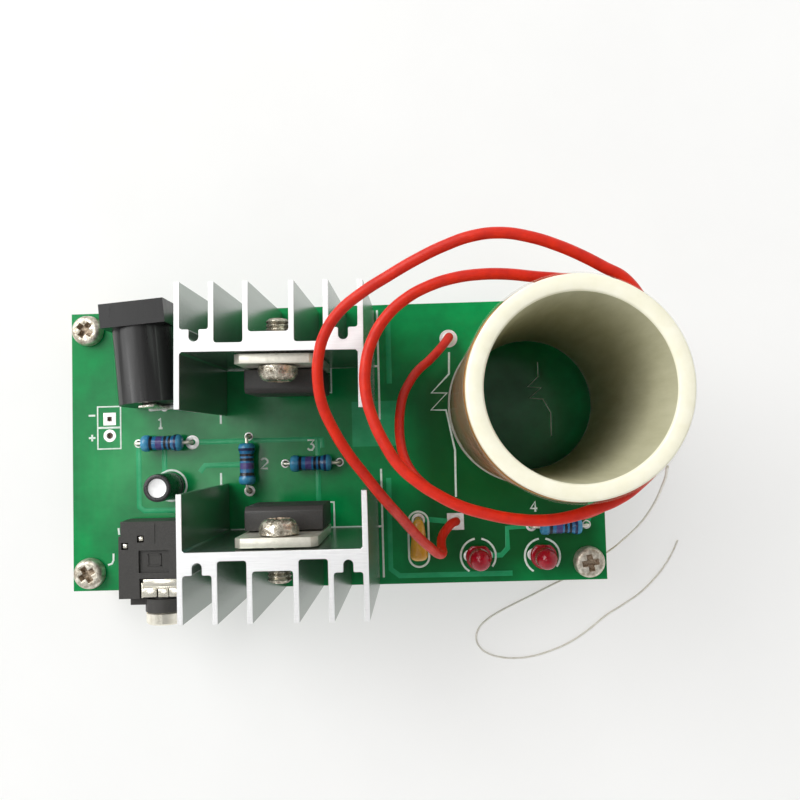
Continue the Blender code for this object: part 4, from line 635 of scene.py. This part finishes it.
soldered("power_joints", [(foot.x, foot.y) for foot in feet], 0.3, 0.62)
# The mask runs in over each hole, on both faces, up to the strip: only a narrow slot stays open.
form = None
for foot in feet:
    for face, rise in ((-0.2, 0.004), (-1.604, -1.4)):
        land = [(0, face), (1.4, face), (1.4, rise), (0, rise)]
        form = spun(land, 40, Matrix.Translation(foot), form)
shaped("slot_lands", form, mask)
# Spare solder stands in a frosted bar along the housing's foot.
frosted = surface("frosted_solder", "f1efe8", "ffffff", 0.5, 0.6, 0.01, Metallic=0.15)
form = block((-2.25, -7.8, -0.02), (2.3, -SOCKET_END, 0.7))
rounded(form, [edge for edge in form.edges if max(vert.co.z for vert in edge.verts) > 0.5], 0.16, 3)
shaped("power_solder_bar", form, frosted, place=SOCKET)

# Sound socket: a flat moulded box with a collar, a plated ring round its mouth and a clip.
# Matt grey-black plastic; its posts and springs are plated strip, let in from above and behind.

# Dark grey polyester: matt and slightly brown in bright light, with a fine spark-eroded texture.
polyester = surface(
    "grey_polyester", "302f2d", "403e3b", 0.5, 0.15, 0.008, IOR=1.57, Specular_IOR_Level=0.4
)
EAR_X = 0.1865 * BOARD_LENGTH
EAR_Y = 5.2
EAR = BOARD @ Matrix.Translation((EAR_X, EAR_Y, 0))

mouthwards = Matrix.Translation((0, -5.5, 2.9)) @ Matrix.Rotation(math.pi / 2, 4, "X")
form = block((-6, -5.5, LIFT), (6, 5.5, 5.6))
step = block((-4.95, -6.7, LIFT), (4.95, -4.5, 3.8))
collar = spun([(0, -1), (2.1, -1), (2.1, 0.2), (2.9, 0.2), (2.9, 2.1), (0, 2.1)], 64)
collar.transform(mouthwards)
bore = spun([(0, -10.1), (1.8, -10.1), (1.8, 3), (0, 3)], 48)
bore.transform(mouthwards)
seat = spun([(0, 0.5), (2.4, 0.5), (2.4, 3), (0, 3)], 48)
seat.transform(mouthwards)
cuts = [bore, seat]
cuts += [block((-3.0, -5.6, 5.1), (3.0, -2.65, 6.6)), block((-3.1, -1.85, 5.2), (1.3, 1.35, 6))]
cuts += [block((-3.0, -6.6, 4.2), (-2.3, -3.1, 6.6)), block((2.3, -6.6, 4.2), (3.0, -3.1, 6.6))]
for x, y in ((-5.1, 2.002), (-2.8, 3.0)):
    cuts.append(block((x - 0.5, y - 0.5, -1), (x + 0.5, y + 0.5, 6.6)))
cuts.append(block((2.3, 1.3, -1), (3.3, 2.3, 4.2)))
cuts += [block((-3.0, -2.1, 1.8), (-1.0, 2.7, 4.0)), block((1.0, -3.0, 1.8), (3.0, 1.8, 4.0))]
cuts.append(block((-6.5, 3.4, 3.2), (-5.7, 5.9, 6)))
form = carved(form, cuts, [step, collar])
rounded(form, corners(form, 0.8), 0.1, 2)
shaped("sound_socket_body", form, polyester, "sound_jack_housing", EAR)
# Low ribs left by the mould frame the sunk square on its top.
form = bmesh.new()
for low, high in (
    ((-0.85, 2.4, 5.55), (-0.7, 5.1, 5.68)),
    ((-1.9, -0.95, 5.15), (0.1, -0.8, 5.32)),
    ((-1.9, 0.65, 5.15), (0.1, 0.8, 5.32)),
    ((-1.9, -0.95, 5.15), (-1.75, 0.8, 5.32)),
    ((-0.05, -0.95, 5.15), (0.1, 0.8, 5.32)),
):
    form = gathered(form, block(low, high))
shaped("sound_socket_ribs", form, polyester, place=EAR)
ring = [(1.8, 0.7), (2.2, 0.7), (2.2, 2.2), (2.65, 2.2), (2.8, 2.35), (2.8, 3.7)]
ring += [(2.6, 3.9), (2.0, 3.9), (1.8, 3.7)]
form = spun(ring, 64, mouthwards)
shaped("plated_mouth_ring", form, contact, "sound_jack_bush", EAR)
# The clip is one folded strip: a bar, a pressed groove, and a second bar split by a tongue.
form = None
for low, high in (
    ((-2.5, -3.88, 5.3), (2.7, -2.78, 5.6)),
    ((-2.6, -4.25, 5.3), (2.7, -3.75, 5.4)),
    ((-2.72, -5.32, 5.3), (-0.56, -4.13, 5.6)),
    ((-0.34, -5.38, 5.2), (1.12, -4.2, 5.54)),
    ((1.28, -5.32, 5.3), (2.72, -4.13, 5.6)),
    ((-2.8, -5.45, 4.4), (-2.5, -3.3, 5.5)),
    ((2.5, -5.45, 4.4), (2.8, -3.3, 5.5)),
):
    strip = block(low, high)
    rounded(strip, strip.edges[:], 0.09, 3)
    form = gathered(form, strip)
shaped("plated_clip", form, contact, "sound_jack_shell", EAR)
for name in ("sound_sleeve_post", "sound_tip_post", "sound_ring_post"):
    carried("plated_" + name, name, contact, 0.05)
for name in ("sound_tip_spring", "sound_ring_spring"):
    carried("plated_" + name, name, contact, 0.04, 1, body=name)
feet = [(EAR_X + x, EAR_Y + y) for x, y in ((-5.1, 2.0), (-2.8, 3.0), (2.8, 2.1))]
soldered("sound_joints", feet, 0.3, 1.05)

# Resistors: metal film on a ceramic rod, dipped in blue lacquer and banded, with tinned leads.
# Each lies on the board with its leads bent down through it.

# Blue lacquer: glossy, a little thinner over the end caps, and painted paler there as the highlight on
# their bulge.
lacquer = surface("blue_lacquer", "175a8c", "2b7db0", 0.24, 0.8, 0.01, IOR=1.5, Coat_Weight=0.4)
pale_lacquer = surface("pale_lacquer_ends", "2c7ba6", "4a99be", 0.24, 0.8, 0.01, IOR=1.5)
violet_band = surface("violet_band", "3d316c", "564a88", 0.3, 0.5, 0.006, IOR=1.5)
black_band = surface("black_band", "0c0b14", "1b1926", 0.3, 0.5, 0.006, IOR=1.5)
navy_band = surface("navy_band", "0d1c44", "16295c", 0.3, 0.5, 0.006, IOR=1.5)
# Each band is from one place along the body to another, in one of the finishes below.
bands = ((-1.75, -1.3, 3), (-0.75, 0.15, 2), (0.45, 0.85, 3), (1.15, 1.5, 3), (1.95, 2.35, 4))
looks = [lacquer, pale_lacquer, violet_band, black_band, navy_band, tinned]
radii = [(-2.9, 1.1), (-2.5, 1.25), (-1.95, 1.22), (-1.75, 1.1), (-1.3, 1.05)]
radii += [(-place, radius) for place, radius in reversed(radii)]


def girth(z):
    """The body's radius at a place along it."""
    for (a, first), (b, second) in zip(radii, radii[1:]):
        if a <= z <= b:
            return first + (second - first) * (z - a) / (b - a)


edges = sorted({end for band in bands for end in band[:2]} | {-2.9, -2.5, -1.95, 1.75, 2.5, 2.9})
body = [(0, -3.1), (0.55, -3.1), (0.9, -3.03)]
body += [(girth(z), z) for z in edges]
body += [(0.9, 3.03), (0.55, 3.1), (0, 3.1)]
REACH = 4.1
WIRE = 0.52
joints = []
for number, x, y, turn in (
    (1, 14.2, 21.949, 0),
    (2, 26.912, 18.501, 90),
    (3, 36.48, 18.354, 0),
    (4, 73.12, 8.148, 0),
):
    form = spun(body, 32)
    for face in form.faces:
        z = face.calc_center_median().z
        # Faces over the end caps take the paler lacquer, a painted highlight.
        face.material_index = 1 if abs(z) > 2.1 else 0
        for start, end, look in bands:
            if start < z < end:
                face.material_index = look
    form.transform(Matrix.Rotation(math.pi / 2, 4, "Y"))
    bend = [(3.0, 0, 0), (3.7, 0, 0), (3.95, 0, -0.07), (4.07, 0, -0.25)]
    bend += [(REACH, 0, -0.5), (REACH, 0, -4.6)]
    wires = stroked([bend, [(-a, b, c) for a, b, c in bend]], WIRE, 0)
    for face in wires.faces:
        face.material_index = 5
    form = gathered(form, wires)
    spin = Matrix.Rotation(math.radians(turn), 4, "Z")
    place = BOARD @ Matrix.Translation((x, y, 1.65)) @ spin
    shaped("banded_resistor_%d" % number, form, looks, "resistor_%d" % number, place)
    joints += [tuple((Vector((x, y, 0)) + spin @ Vector((way * REACH, 0, 0))).xy) for way in (-1, 1)]
# Their pads come in three sizes.
soldered("resistor_wide_joint", joints[1:2], pad=1.05)
soldered("resistor_middle_joints", [joints[2], joints[6]], pad=0.82)
soldered("resistor_small_joints", [joints[end] for end in (0, 3, 4, 5, 7)], pad=0.64)

# Round capacitor: a small aluminium can in a shrunk black sleeve, standing on its two leads.
# The sleeve turns in over the rim; the can's end is scored, to open under pressure.

# Shrunk sleeve: thin black polyester, glossy, with a pale stripe on the minus side.
sleeve = surface("shrunk_sleeve", "0b0b0c", "141314", 0.28, 0.7, 0.008, IOR=1.57)
stripe = surface("pale_sleeve_stripe", "a9b0ae", "cdd2cf", 0.35, 0.5, 0.006, IOR=1.57)
# Can end: pressed aluminium, bright, with fine turning marks.
can_end = surface("pressed_can_end", "f6f6f6", "ffffff", 0.5, 0.4, 0.002, Metallic=0.4)
CAN_X = 15.04
CAN_Y = 15.498
CAN = BOARD @ Matrix.Translation((CAN_X, CAN_Y, 0))
profile = [(1.85, LIFT), (1.98, 0.25), (2.0, 0.45), (2.0, 0.9), (1.93, 1.15), (1.93, 1.3), (2.0, 1.55)]
profile += [(2.0, 1.6 + 0.5 * step) for step in range(1, 11)]
profile += [(1.96, 6.88), (1.85, 6.98), (1.7, 7.0), (1.42, 6.97)]
profile += [(1.36, 6.9), (1.36, 6.82), (1.85, 6.82)]
form = spun(profile, 72)
for face in form.faces:
    middle = face.calc_center_median()
    angle = math.degrees(math.atan2(middle.y, middle.x))
    across = abs(angle) > 100 and int(abs(angle) // 10) % 2
    dash = across and 0.5 < middle.z < 6.75 and middle.z % 2 < 1.3
    face.material_index = 1 if dash else 0
shaped("capacitor_wrap", form, [sleeve, stripe], "capacitor_sleeve", CAN)
profile = [(0, LIFT), (1.78, LIFT), (1.8, 0.4), (1.8, 6.6)]
profile += [(1.68, 6.76), (1.3, 6.8), (1.22, 6.74), (0, 6.74)]
scores = [block((-1.0, -0.05, 6.68), (1.0, 0.05, 7)), block((-0.05, -1.0, 6.68), (0.05, 1.0, 7))]
form = carved(spun(profile, 64), scores)
shaped("capacitor_end", form, can_end, "capacitor_can", CAN)
for name in ("capacitor_lead_left", "capacitor_lead_right"):
    carried("tinned_" + name, name, tinned, 0.05, 1)
soldered("capacitor_joints", [(CAN_X - 1, CAN_Y), (CAN_X + 1, CAN_Y)], pad=0.8)

# Film capacitor: wound film, dipped in mustard lacquer, so its edges are round and uneven.
# The lacquer runs a little way down each lead.

# Dipped lacquer: thick, glossy, ochre, darker where it has pooled.
dipped = surface("mustard_dip", "c48a1c", "e2ac38", 0.25, 1.6, 0.04, IOR=1.52, Coat_Weight=0.5)
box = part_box("film_capacitor")
film_x = ((box[0][0] + box[1][0]) / 2 - BOARD_LOW[0]) / MM
film_y = ((box[0][1] + box[1][1]) / 2 - BOARD_LOW[1]) / MM
FILM_END = 2.95
FILM_FOOT = 0.85
FILM_LEAD = 2.5
form = block((-1.2, -FILM_END, FILM_FOOT), (1.2, FILM_END, 5.35))
rounded(form, form.edges[:], 0.95, 6)
# The dip is narrower and lower at its back end, where it was hung up to drain.
for vert in form.verts:
    share = (vert.co.y + FILM_END) / (2 * FILM_END)
    vert.co.x *= 1.16 - 0.5 * share
    vert.co.z = FILM_FOOT + (vert.co.z - FILM_FOOT) * (1 - 0.25 * share)
for way in (-1, 1):
    skirt = [(0, 0.3), (0.36, 0.3), (0.45, 0.8), (0.7, 1.5), (0.5, 2.4), (0, 2.4)]
    form = spun(skirt, 24, Matrix.Translation((0, way * FILM_LEAD, 0)), form)
legs = stroked([[(0, way * FILM_LEAD, 1), (0, way * FILM_LEAD, -3.0)] for way in (-1, 1)], WIRE, 0)
for face in legs.faces:
    face.material_index = 1
form = gathered(form, legs)
place = BOARD @ Matrix.Translation((film_x, film_y, 0))
shaped("dipped_capacitor", form, [dipped, tinned], "film_capacitor", place)
soldered("film_capacitor_joints", [(film_x, film_y - FILM_LEAD), (film_x, film_y + FILM_LEAD)])

# Lamps: two 3 mm red lamps, cast in tinted epoxy round a tiny lead frame.
# The rim has a flat on one side, which tells the short lead.

# Tinted epoxy: deep red, clear and glossy, cast in a polished mould.
tinted = surface(
    "red_tinted_epoxy", "8e041a", "b60a28", 0.14, 2.0, 0.004, IOR=1.52, Transmission_Weight=0.12
)
LENS_RADIUS = 1.5
DOME_FOOT = 5.1
joints = []
for number, x, y in ((1, 60.96, 3.906), (2, 70.448, 3.864)):
    profile = [(0, 1.3), (1.85, 1.3), (1.9, 1.36), (1.9, 2.1), (1.84, 2.24), (1.7, 2.3), (1.56, 2.4)]
    profile += [(LENS_RADIUS, 2.6), (LENS_RADIUS, DOME_FOOT)]
    for angle in range(9, 90, 9):
        rise = LENS_RADIUS * math.sin(math.radians(angle))
        profile.append((LENS_RADIUS * math.cos(math.radians(angle)), DOME_FOOT + rise))
    profile.append((0, DOME_FOOT + LENS_RADIUS))
    form = carved(spun(profile, 64), [block((-3, 1.62, 0.5), (3, 3, 2.5))])
    place = BOARD @ Matrix.Translation((x, y, 0))
    lens = "lamp_%d_lens" % number
    shaped("tinted_" + lens, form, tinted, lens, place)
    form = block((-1.05, -0.2, 1.9), (-0.15, 0.2, 4.1))
    cup = [(0, 3.8), (0.35, 3.8), (0.62, 4.4), (0.5, 4.4), (0.3, 4.05), (0, 4.05)]
    form = spun(cup, 32, Matrix.Translation((-0.5, 0, 0)), form)
    form = gathered(form, block((0.5, -0.15, 1.9), (1.0, 0.15, 4.5)))
    shaped("lamp_%d_frame" % number, form, tinned, place=place)
    for hand in ("left", "right"):
        lead = "lamp_%d_lead_%s" % (number, hand)
        carried("tinned_" + lead, lead, tinned, 0.05, 1)
    joints += [(x - LEAD_STEP / 2, y), (x + LEAD_STEP / 2, y)]
soldered("lamp_joints", joints, pad=0.9)

# Wound tube: a cut length of ivory plastic pipe, wound with one layer of enamelled wire.
# A clear film covers the winding; the tube stands in a thin bead of glue.

# Pipe plastic: ivory, satin, with faint lengthwise lines from drawing and a few dull spots.
ivory = surface("ivory_pipe_plastic", "f3efd5", "fbf8e4", 0.4, 2.2, 0.008, (1, 1, 8), IOR=1.53)
# Its bore was never polished, so it is duller; its colour is painted darker than the outside, as shade
# down inside the tube.
shaded_bore = surface("shaded_pipe_bore", "b3b091", "c2bfa2", 0.6, 1.8, 0.01, (1, 1, 6), IOR=1.53)
profile = [(9.62, 0.6), (9.78, 0.4), (11.3, 0.4), (11.4, 0.5), (11.4, 41.85)]
profile += [(11.3, 42.02), (11.15, 42.1), (9.88, 42.1), (9.72, 42.0), (9.62, 41.8)]
form = spun(profile, 160)
for face in form.faces:
    middle = face.calc_center_median()
    # Faces of the bore take the darker colour, painted shade.
    face.material_index = 1 if math.hypot(middle.x, middle.y) < 9.66 else 0
shaped("ivory_tube", form, [ivory, shaded_bore], "coil_tube", TUBE)

# Set glue: clear with a milky edge, in an uneven bead.
glue = surface("set_clear_glue", "cfcdbf", "ece9dd", 0.2, 1.2, 0.05, IOR=1.5, Alpha=0.6)
form = spun([(9.62, 0.05), (11.8, 0.05), (11.76, 0.2), (11.5, 0.36), (9.62, 0.36)], 128)
shaped("glue_bead", form, glue, "coil_tube_glue", TUBE)

# Enamelled copper: wire under brown varnish, turn beside turn; real turns are finer than
# these ridges, which stand 0.31 mm apart so that they show.
coat = {"Coat_Weight": 0.6, "Coat_Roughness": 0.1}
enamel = surface(
    "enamelled_copper", "9c6a26", "c08a3a", 0.3, 4.0, 0, (1, 1, 0.06), Metallic=0.75, **coat
)
TURNS = 120
WOUND_FOOT = 2.9
WOUND_LENGTH = 37.2
profile = [(11.45, WOUND_FOOT)]
for number in range(TURNS):
    z = WOUND_FOOT + WOUND_LENGTH * number / TURNS
    profile += [(11.5, z + 0.02), (11.58, z + 0.155), (11.5, z + 0.29)]
profile.append((11.45, WOUND_FOOT + WOUND_LENGTH))
form = spun(profile, 128)
shaped("fine_turns", form, enamel, "fine_winding", TUBE, smooth=80)

# Clear film: thin tape, glossy, laid over the turns with small waves in it.
tape = surface("clear_tape", "e9e4d2", "faf8f0", 0.12, 3.0, 0.02, IOR=1.45, Alpha=0.09)
form = spun([(11.63, 1.9), (11.73, 1.9), (11.73, 41.1), (11.63, 41.1)], 128)
shaped("tape_over_turns", form, tape, "winding_film", TUBE)
# The winding's lower end keeps its solid, in the same enamel.
low_lead = bpy.data.objects["fine_winding_low_lead"]
low_lead.data.materials.clear()
low_lead.data.materials.append(enamel)
soldered("winding_joint", [(78.24, 15.33)], 0.2, 0.95)

# Red wire: the primary, about three loose turns of stranded hook-up wire round the tube.
# Its two ends are stripped and soldered into a round and a square pad.

# Insulation: soft coloured vinyl, satin, a touch translucent, with faint rubbing marks.
vinyl = surface("red_vinyl", "c21a04", "dc2806", 0.45, 1.5, 0.012, IOR=1.52, Specular_IOR_Level=0.35)
RED_ROUTE = (
    (57.5, 36.56, 0.3), (57.5, 36.56, 1.7), (56.72, 35.41, 3), (54.57, 33.02, 4.6),
    (52.63, 31.21, 6), (51.38, 29.35, 7.3), (50.57, 27.6, 8.5), (50.16, 25.6, 9.7),
    (50, 23.36, 11), (50.14, 21.16, 12.6), (50.59, 19.16, 14.3), (51.5, 17.35, 16.2),
    (53.01, 15.73, 18.2), (55.09, 14.28, 20.2), (57.96, 12.92, 22), (61.01, 12.12, 23.4),
    (64.23, 11.57, 24.6), (67.42, 11.51, 25.6), (70.33, 11.95, 26.5), (73.01, 12.74, 27.2),
    (78.31, 16.11, 27.8), (80.95, 20.58, 28.5), (81.8, 26.2, 29.2), (80.5, 31.61, 30),
    (77.13, 36.01, 30.9), (72.89, 38.47, 31.7), (68.9, 38.95, 32.3), (66.22, 39.18, 32.6),
    (62.88, 39.56, 32.8), (59.75, 39.57, 33), (57.07, 39.26, 33), (54.38, 38.5, 33),
    (51.67, 37.13, 33), (49.39, 35.13, 33), (47.77, 32.55, 33), (46.97, 29.73, 33),
    (46.95, 26.62, 33), (47.71, 23.66, 33.1), (48.86, 21.09, 33.2), (50.4, 18.63, 33.3),
    (52.33, 16.83, 33.4), (54.47, 15.36, 33.4), (56.95, 14.05, 33.4), (59.75, 13.14, 33.4),
    (62.78, 12.49, 33.4), (65.92, 12.26, 33.4), (68.86, 12.58, 33.4), (71.6, 13.38, 33.4),
    (73.91, 14.24, 33.4), (76.16, 15.67, 33.3), (79.27, 18.94, 33.2), (81.11, 22.93, 33.2),
    (81.47, 27.52, 33.2), (80.18, 31.95, 33.3), (77.9, 35.52, 33.6), (75.61, 38.47, 34),
    (73.43, 39.71, 34.2), (71.26, 40.88, 34.4), (68.44, 42.16, 34.6), (65.42, 43.19, 34.7),
    (62.18, 43.78, 34.6), (59.12, 43.57, 34.4), (56.26, 42.76, 34), (53.13, 41.47, 33.5),
    (49.72, 39.8, 32.6), (46.46, 38.05, 31.6), (43.9, 36.15, 30.8), (42.24, 33.92, 30.2),
    (41.38, 31.34, 29.8), (41.18, 28.6, 29.4), (41.55, 25.84, 28.9), (42.59, 23.15, 28.3),
    (44.2, 20.19, 27.5), (46.04, 17.52, 26.3), (48.12, 14.55, 24.2), (50.13, 11.74, 20.4),
    (52.04, 8.95, 16), (53.72, 6.91, 12.4), (54.98, 5.6, 9.6), (55.5, 5.51, 7.6),
    (55.41, 6.33, 5.7), (55.56, 7.29, 4.3), (56.25, 8.22, 3.1), (57.13, 9.03, 2.3),
    (57.72, 9.16, 1.4), (57.75, 9.05, 0.3),
)  # fmt: skip


def cable(name, route, diameter, look, swap):
    """A wire along one smooth curve; its route is in millimetres and its diameter in metres."""
    curve = bpy.data.curves.new(name, "CURVE")
    curve.dimensions = "3D"
    curve.bevel_depth = diameter / 2
    curve.bevel_resolution = 6
    curve.use_fill_caps = True
    spline = curve.splines.new("BEZIER")
    spline.bezier_points.add(len(route) - 1)
    spline.resolution_u = 10
    for control, point in zip(spline.bezier_points, route):
        control.co = BOARD @ Vector(point)
        control.handle_left_type = control.handle_right_type = "AUTO"
    curve.materials.append(look)
    made = bpy.data.objects.new(name, curve)
    bpy.context.scene.collection.objects.link(made)
    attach(made, "kit")
    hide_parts(swap)
    return made


RED_DIAMETER = 0.0013
red = cable("red_wire", RED_ROUTE, RED_DIAMETER, vinyl, "primary_coil")
start = tuple(BOARD @ Vector(RED_ROUTE[0]))
upper_end = RED_ROUTE[0][:2]
lower_end = RED_ROUTE[-1][:2]
open_pad("primary_pad_round", *upper_end, 1.35, 0.5)
open_pad("primary_pad_square", *lower_end, 1.25, 0.5, True)
form = None
for x, y in (upper_end, lower_end):
    turn = Matrix.Translation((x, y, 0))
    form = spun([(0, 0), (1.0, 0), (0.86, 0.18), (0.5, 0.36), (0, 0.5)], 28, turn, form)
    under = [(0, -2.8), (0.36, -2.75), (0.5, -2.2), (1.0, -1.66), (1.0, -1.6), (0, -1.6)]
    form = spun(under, 28, turn, form)
shaped("primary_joints", form, solder)

# Fine lead: the free end of the winding, one strand of very fine varnished wire.
# It leaves the top of the tube, droops over the board's edge and trails on the table.

# Fine varnished wire: its colour is painted pale grey-brown, as the sheen on so thin a wire.
varnished = surface("fine_varnished_wire", "dad6ca", "eceae2", 0.35, 1.0, 0, Metallic=0.2)
FINE_ROUTE = (
    (77.77, 18, 39.6), (78.65, 16.86, 36), (79.63, 15.39, 31), (80.66, 13.54, 25),
    (81.63, 11.43, 18), (82.47, 9.26, 10.5), (82.98, 7.25, 3.5), (83.1, 5.24, -3),
    (82.42, 3.28, -7.6), (80.38, 1.5, -9.4), (77.82, -0.3, -9.65), (75.38, -1.44, -9.65),
    (73.03, -2.49, -9.65), (69.86, -4.01, -9.65), (67.05, -5.29, -9.65), (64.58, -6.51, -9.65),
    (62.7, -7.65, -9.65), (61.29, -9.13, -9.65), (60.89, -10.62, -9.65), (61.52, -12.14, -9.65),
    (62.92, -13.11, -9.65), (64.99, -13.69, -9.65), (67.28, -13.83, -9.65), (69.68, -13.6, -9.65),
    (72.73, -12.77, -9.65), (75.64, -11.58, -9.65), (78.73, -9.66, -9.65), (81.65, -7.44, -9.65),
    (84.45, -5.76, -9.65), (87.06, -4.08, -9.65), (89.45, -1.92, -9.65), (91.37, 0.34, -9.65),
    (92.65, 2.37, -9.65), (93.56, 4.25, -9.65),
)  # fmt: skip
FINE_DIAMETER = 0.0003
fine = cable("fine_lead", FINE_ROUTE, FINE_DIAMETER, varnished, "secondary_lead")
start = tuple(BOARD @ Vector(FINE_ROUTE[0]))

# Table, light and camera: a plain white sheet under soft daylight, seen from above.
# The camera stands where the one that took the picture did, near and almost overhead.

sheet = surface("white_table", "f4f4f2", "fafaf8", 0.7, 40.0, 0)
tree = sheet.node_tree
shader = tree.nodes["Principled BSDF"]
form = bmesh.new()
bmesh.ops.create_grid(form, x_segments=1, y_segments=1, size=2.0)
mesh = bpy.data.meshes.new("table_sheet")
form.to_mesh(mesh)
form.free()
mesh.materials.append(sheet)
# Nearly half of what the camera, metal and glass see of the sheet is plain white, so it stays pale.
rays = node(tree, "LightPath")
camera_ray, glossy_ray, clear_ray = [
    rays.outputs["Is %s Ray" % kind] for kind in ("Camera", "Glossy", "Transmission")
]
seen = node(tree, "Math", {"operation": "MAXIMUM"}, {0: camera_ray, 1: glossy_ray})
seen = node(tree, "Math", {"operation": "MAXIMUM"}, {0: seen.outputs[0], 1: clear_ray})
part = node(tree, "Math", {"operation": "MULTIPLY", 1: 0.45}, {0: seen.outputs[0]})
white = node(tree, "Emission", {"Color": colour("fcfcfb"), "Strength": 1.0})
lit = node(tree, "MixShader", {}, {0: part.outputs[0], 1: shader.outputs[0], 2: white.outputs[0]})
tree.links.new(lit.outputs[0], tree.nodes["Material Output"].inputs["Surface"])
table = bpy.data.objects.new("table_sheet", mesh)
bpy.context.scene.collection.objects.link(table)

world = bpy.data.worlds.new("daylight")
bpy.context.scene.world = world
world.use_nodes = True
tree = world.node_tree
sky = tree.nodes["Background"]
sky.inputs["Color"].default_value = (1.0, 1.0, 1.0, 1)
way = node(tree, "TexCoord").outputs["Generated"]
upward = node(tree, "SeparateXYZ", {}, {0: way}).outputs[2]
# The room is brighter low down than straight overhead.
gradient = {"From Min": 0.5, "From Max": 0.95, "To Min": 0.8, "To Max": 0.26}
strength = node(tree, "MapRange", gradient, {"Value": upward})
# Two soft patches of ceiling lay a sheen over the board: left of the middle, and in the tube.
for toward, near, far, bright in (
    ((-0.27, -0.01, 0.963), 0.06, 0.14, 5.0),
    ((0.108, 0.057, 0.993), 0.005, 0.04, 5.0),
):
    away = node(tree, "VectorMath", {"operation": "DISTANCE", 1: toward}, {0: way})
    fade = {"From Min": near, "From Max": far, "To Min": bright, "To Max": 0.0}
    patch = node(tree, "MapRange", fade, {"Value": away.outputs["Value"]})
    strength = node(tree, "Math", {"operation": "ADD"}, {0: strength.outputs[0], 1: patch.outputs[0]})
tree.links.new(strength.outputs[0], sky.inputs["Strength"])

lamp = bpy.data.lights.new("window", "AREA")
lamp.shape = "RECTANGLE"
lamp.size = 0.7
lamp.size_y = 0.5
lamp.energy = 5.6
window = bpy.data.objects.new("window", lamp)
toward = Vector((-0.48, 0.36, 0.6))
window.location = toward
window.rotation_euler = (-toward).to_track_quat("-Z", "Y").to_euler()
bpy.context.scene.collection.objects.link(window)

lens = bpy.data.cameras.new("camera")
lens.lens = 36.887
lens.sensor_width = 36.0
lens.clip_start = 0.001
lens.clip_end = 10.0
camera = bpy.data.objects.new("camera", lens)
turn = Matrix.Rotation(-0.0283285, 4, "Z") @ Matrix.Rotation(0.0485422, 4, "X")
turn = turn @ Matrix.Rotation(0.0243900, 4, "Y")
camera.matrix_world = Matrix.Translation((0.012471, 0.002396, 0.133361)) @ turn
bpy.context.scene.collection.objects.link(camera)
bpy.context.scene.camera = camera
bpy.context.scene.view_settings.view_transform = "Standard"
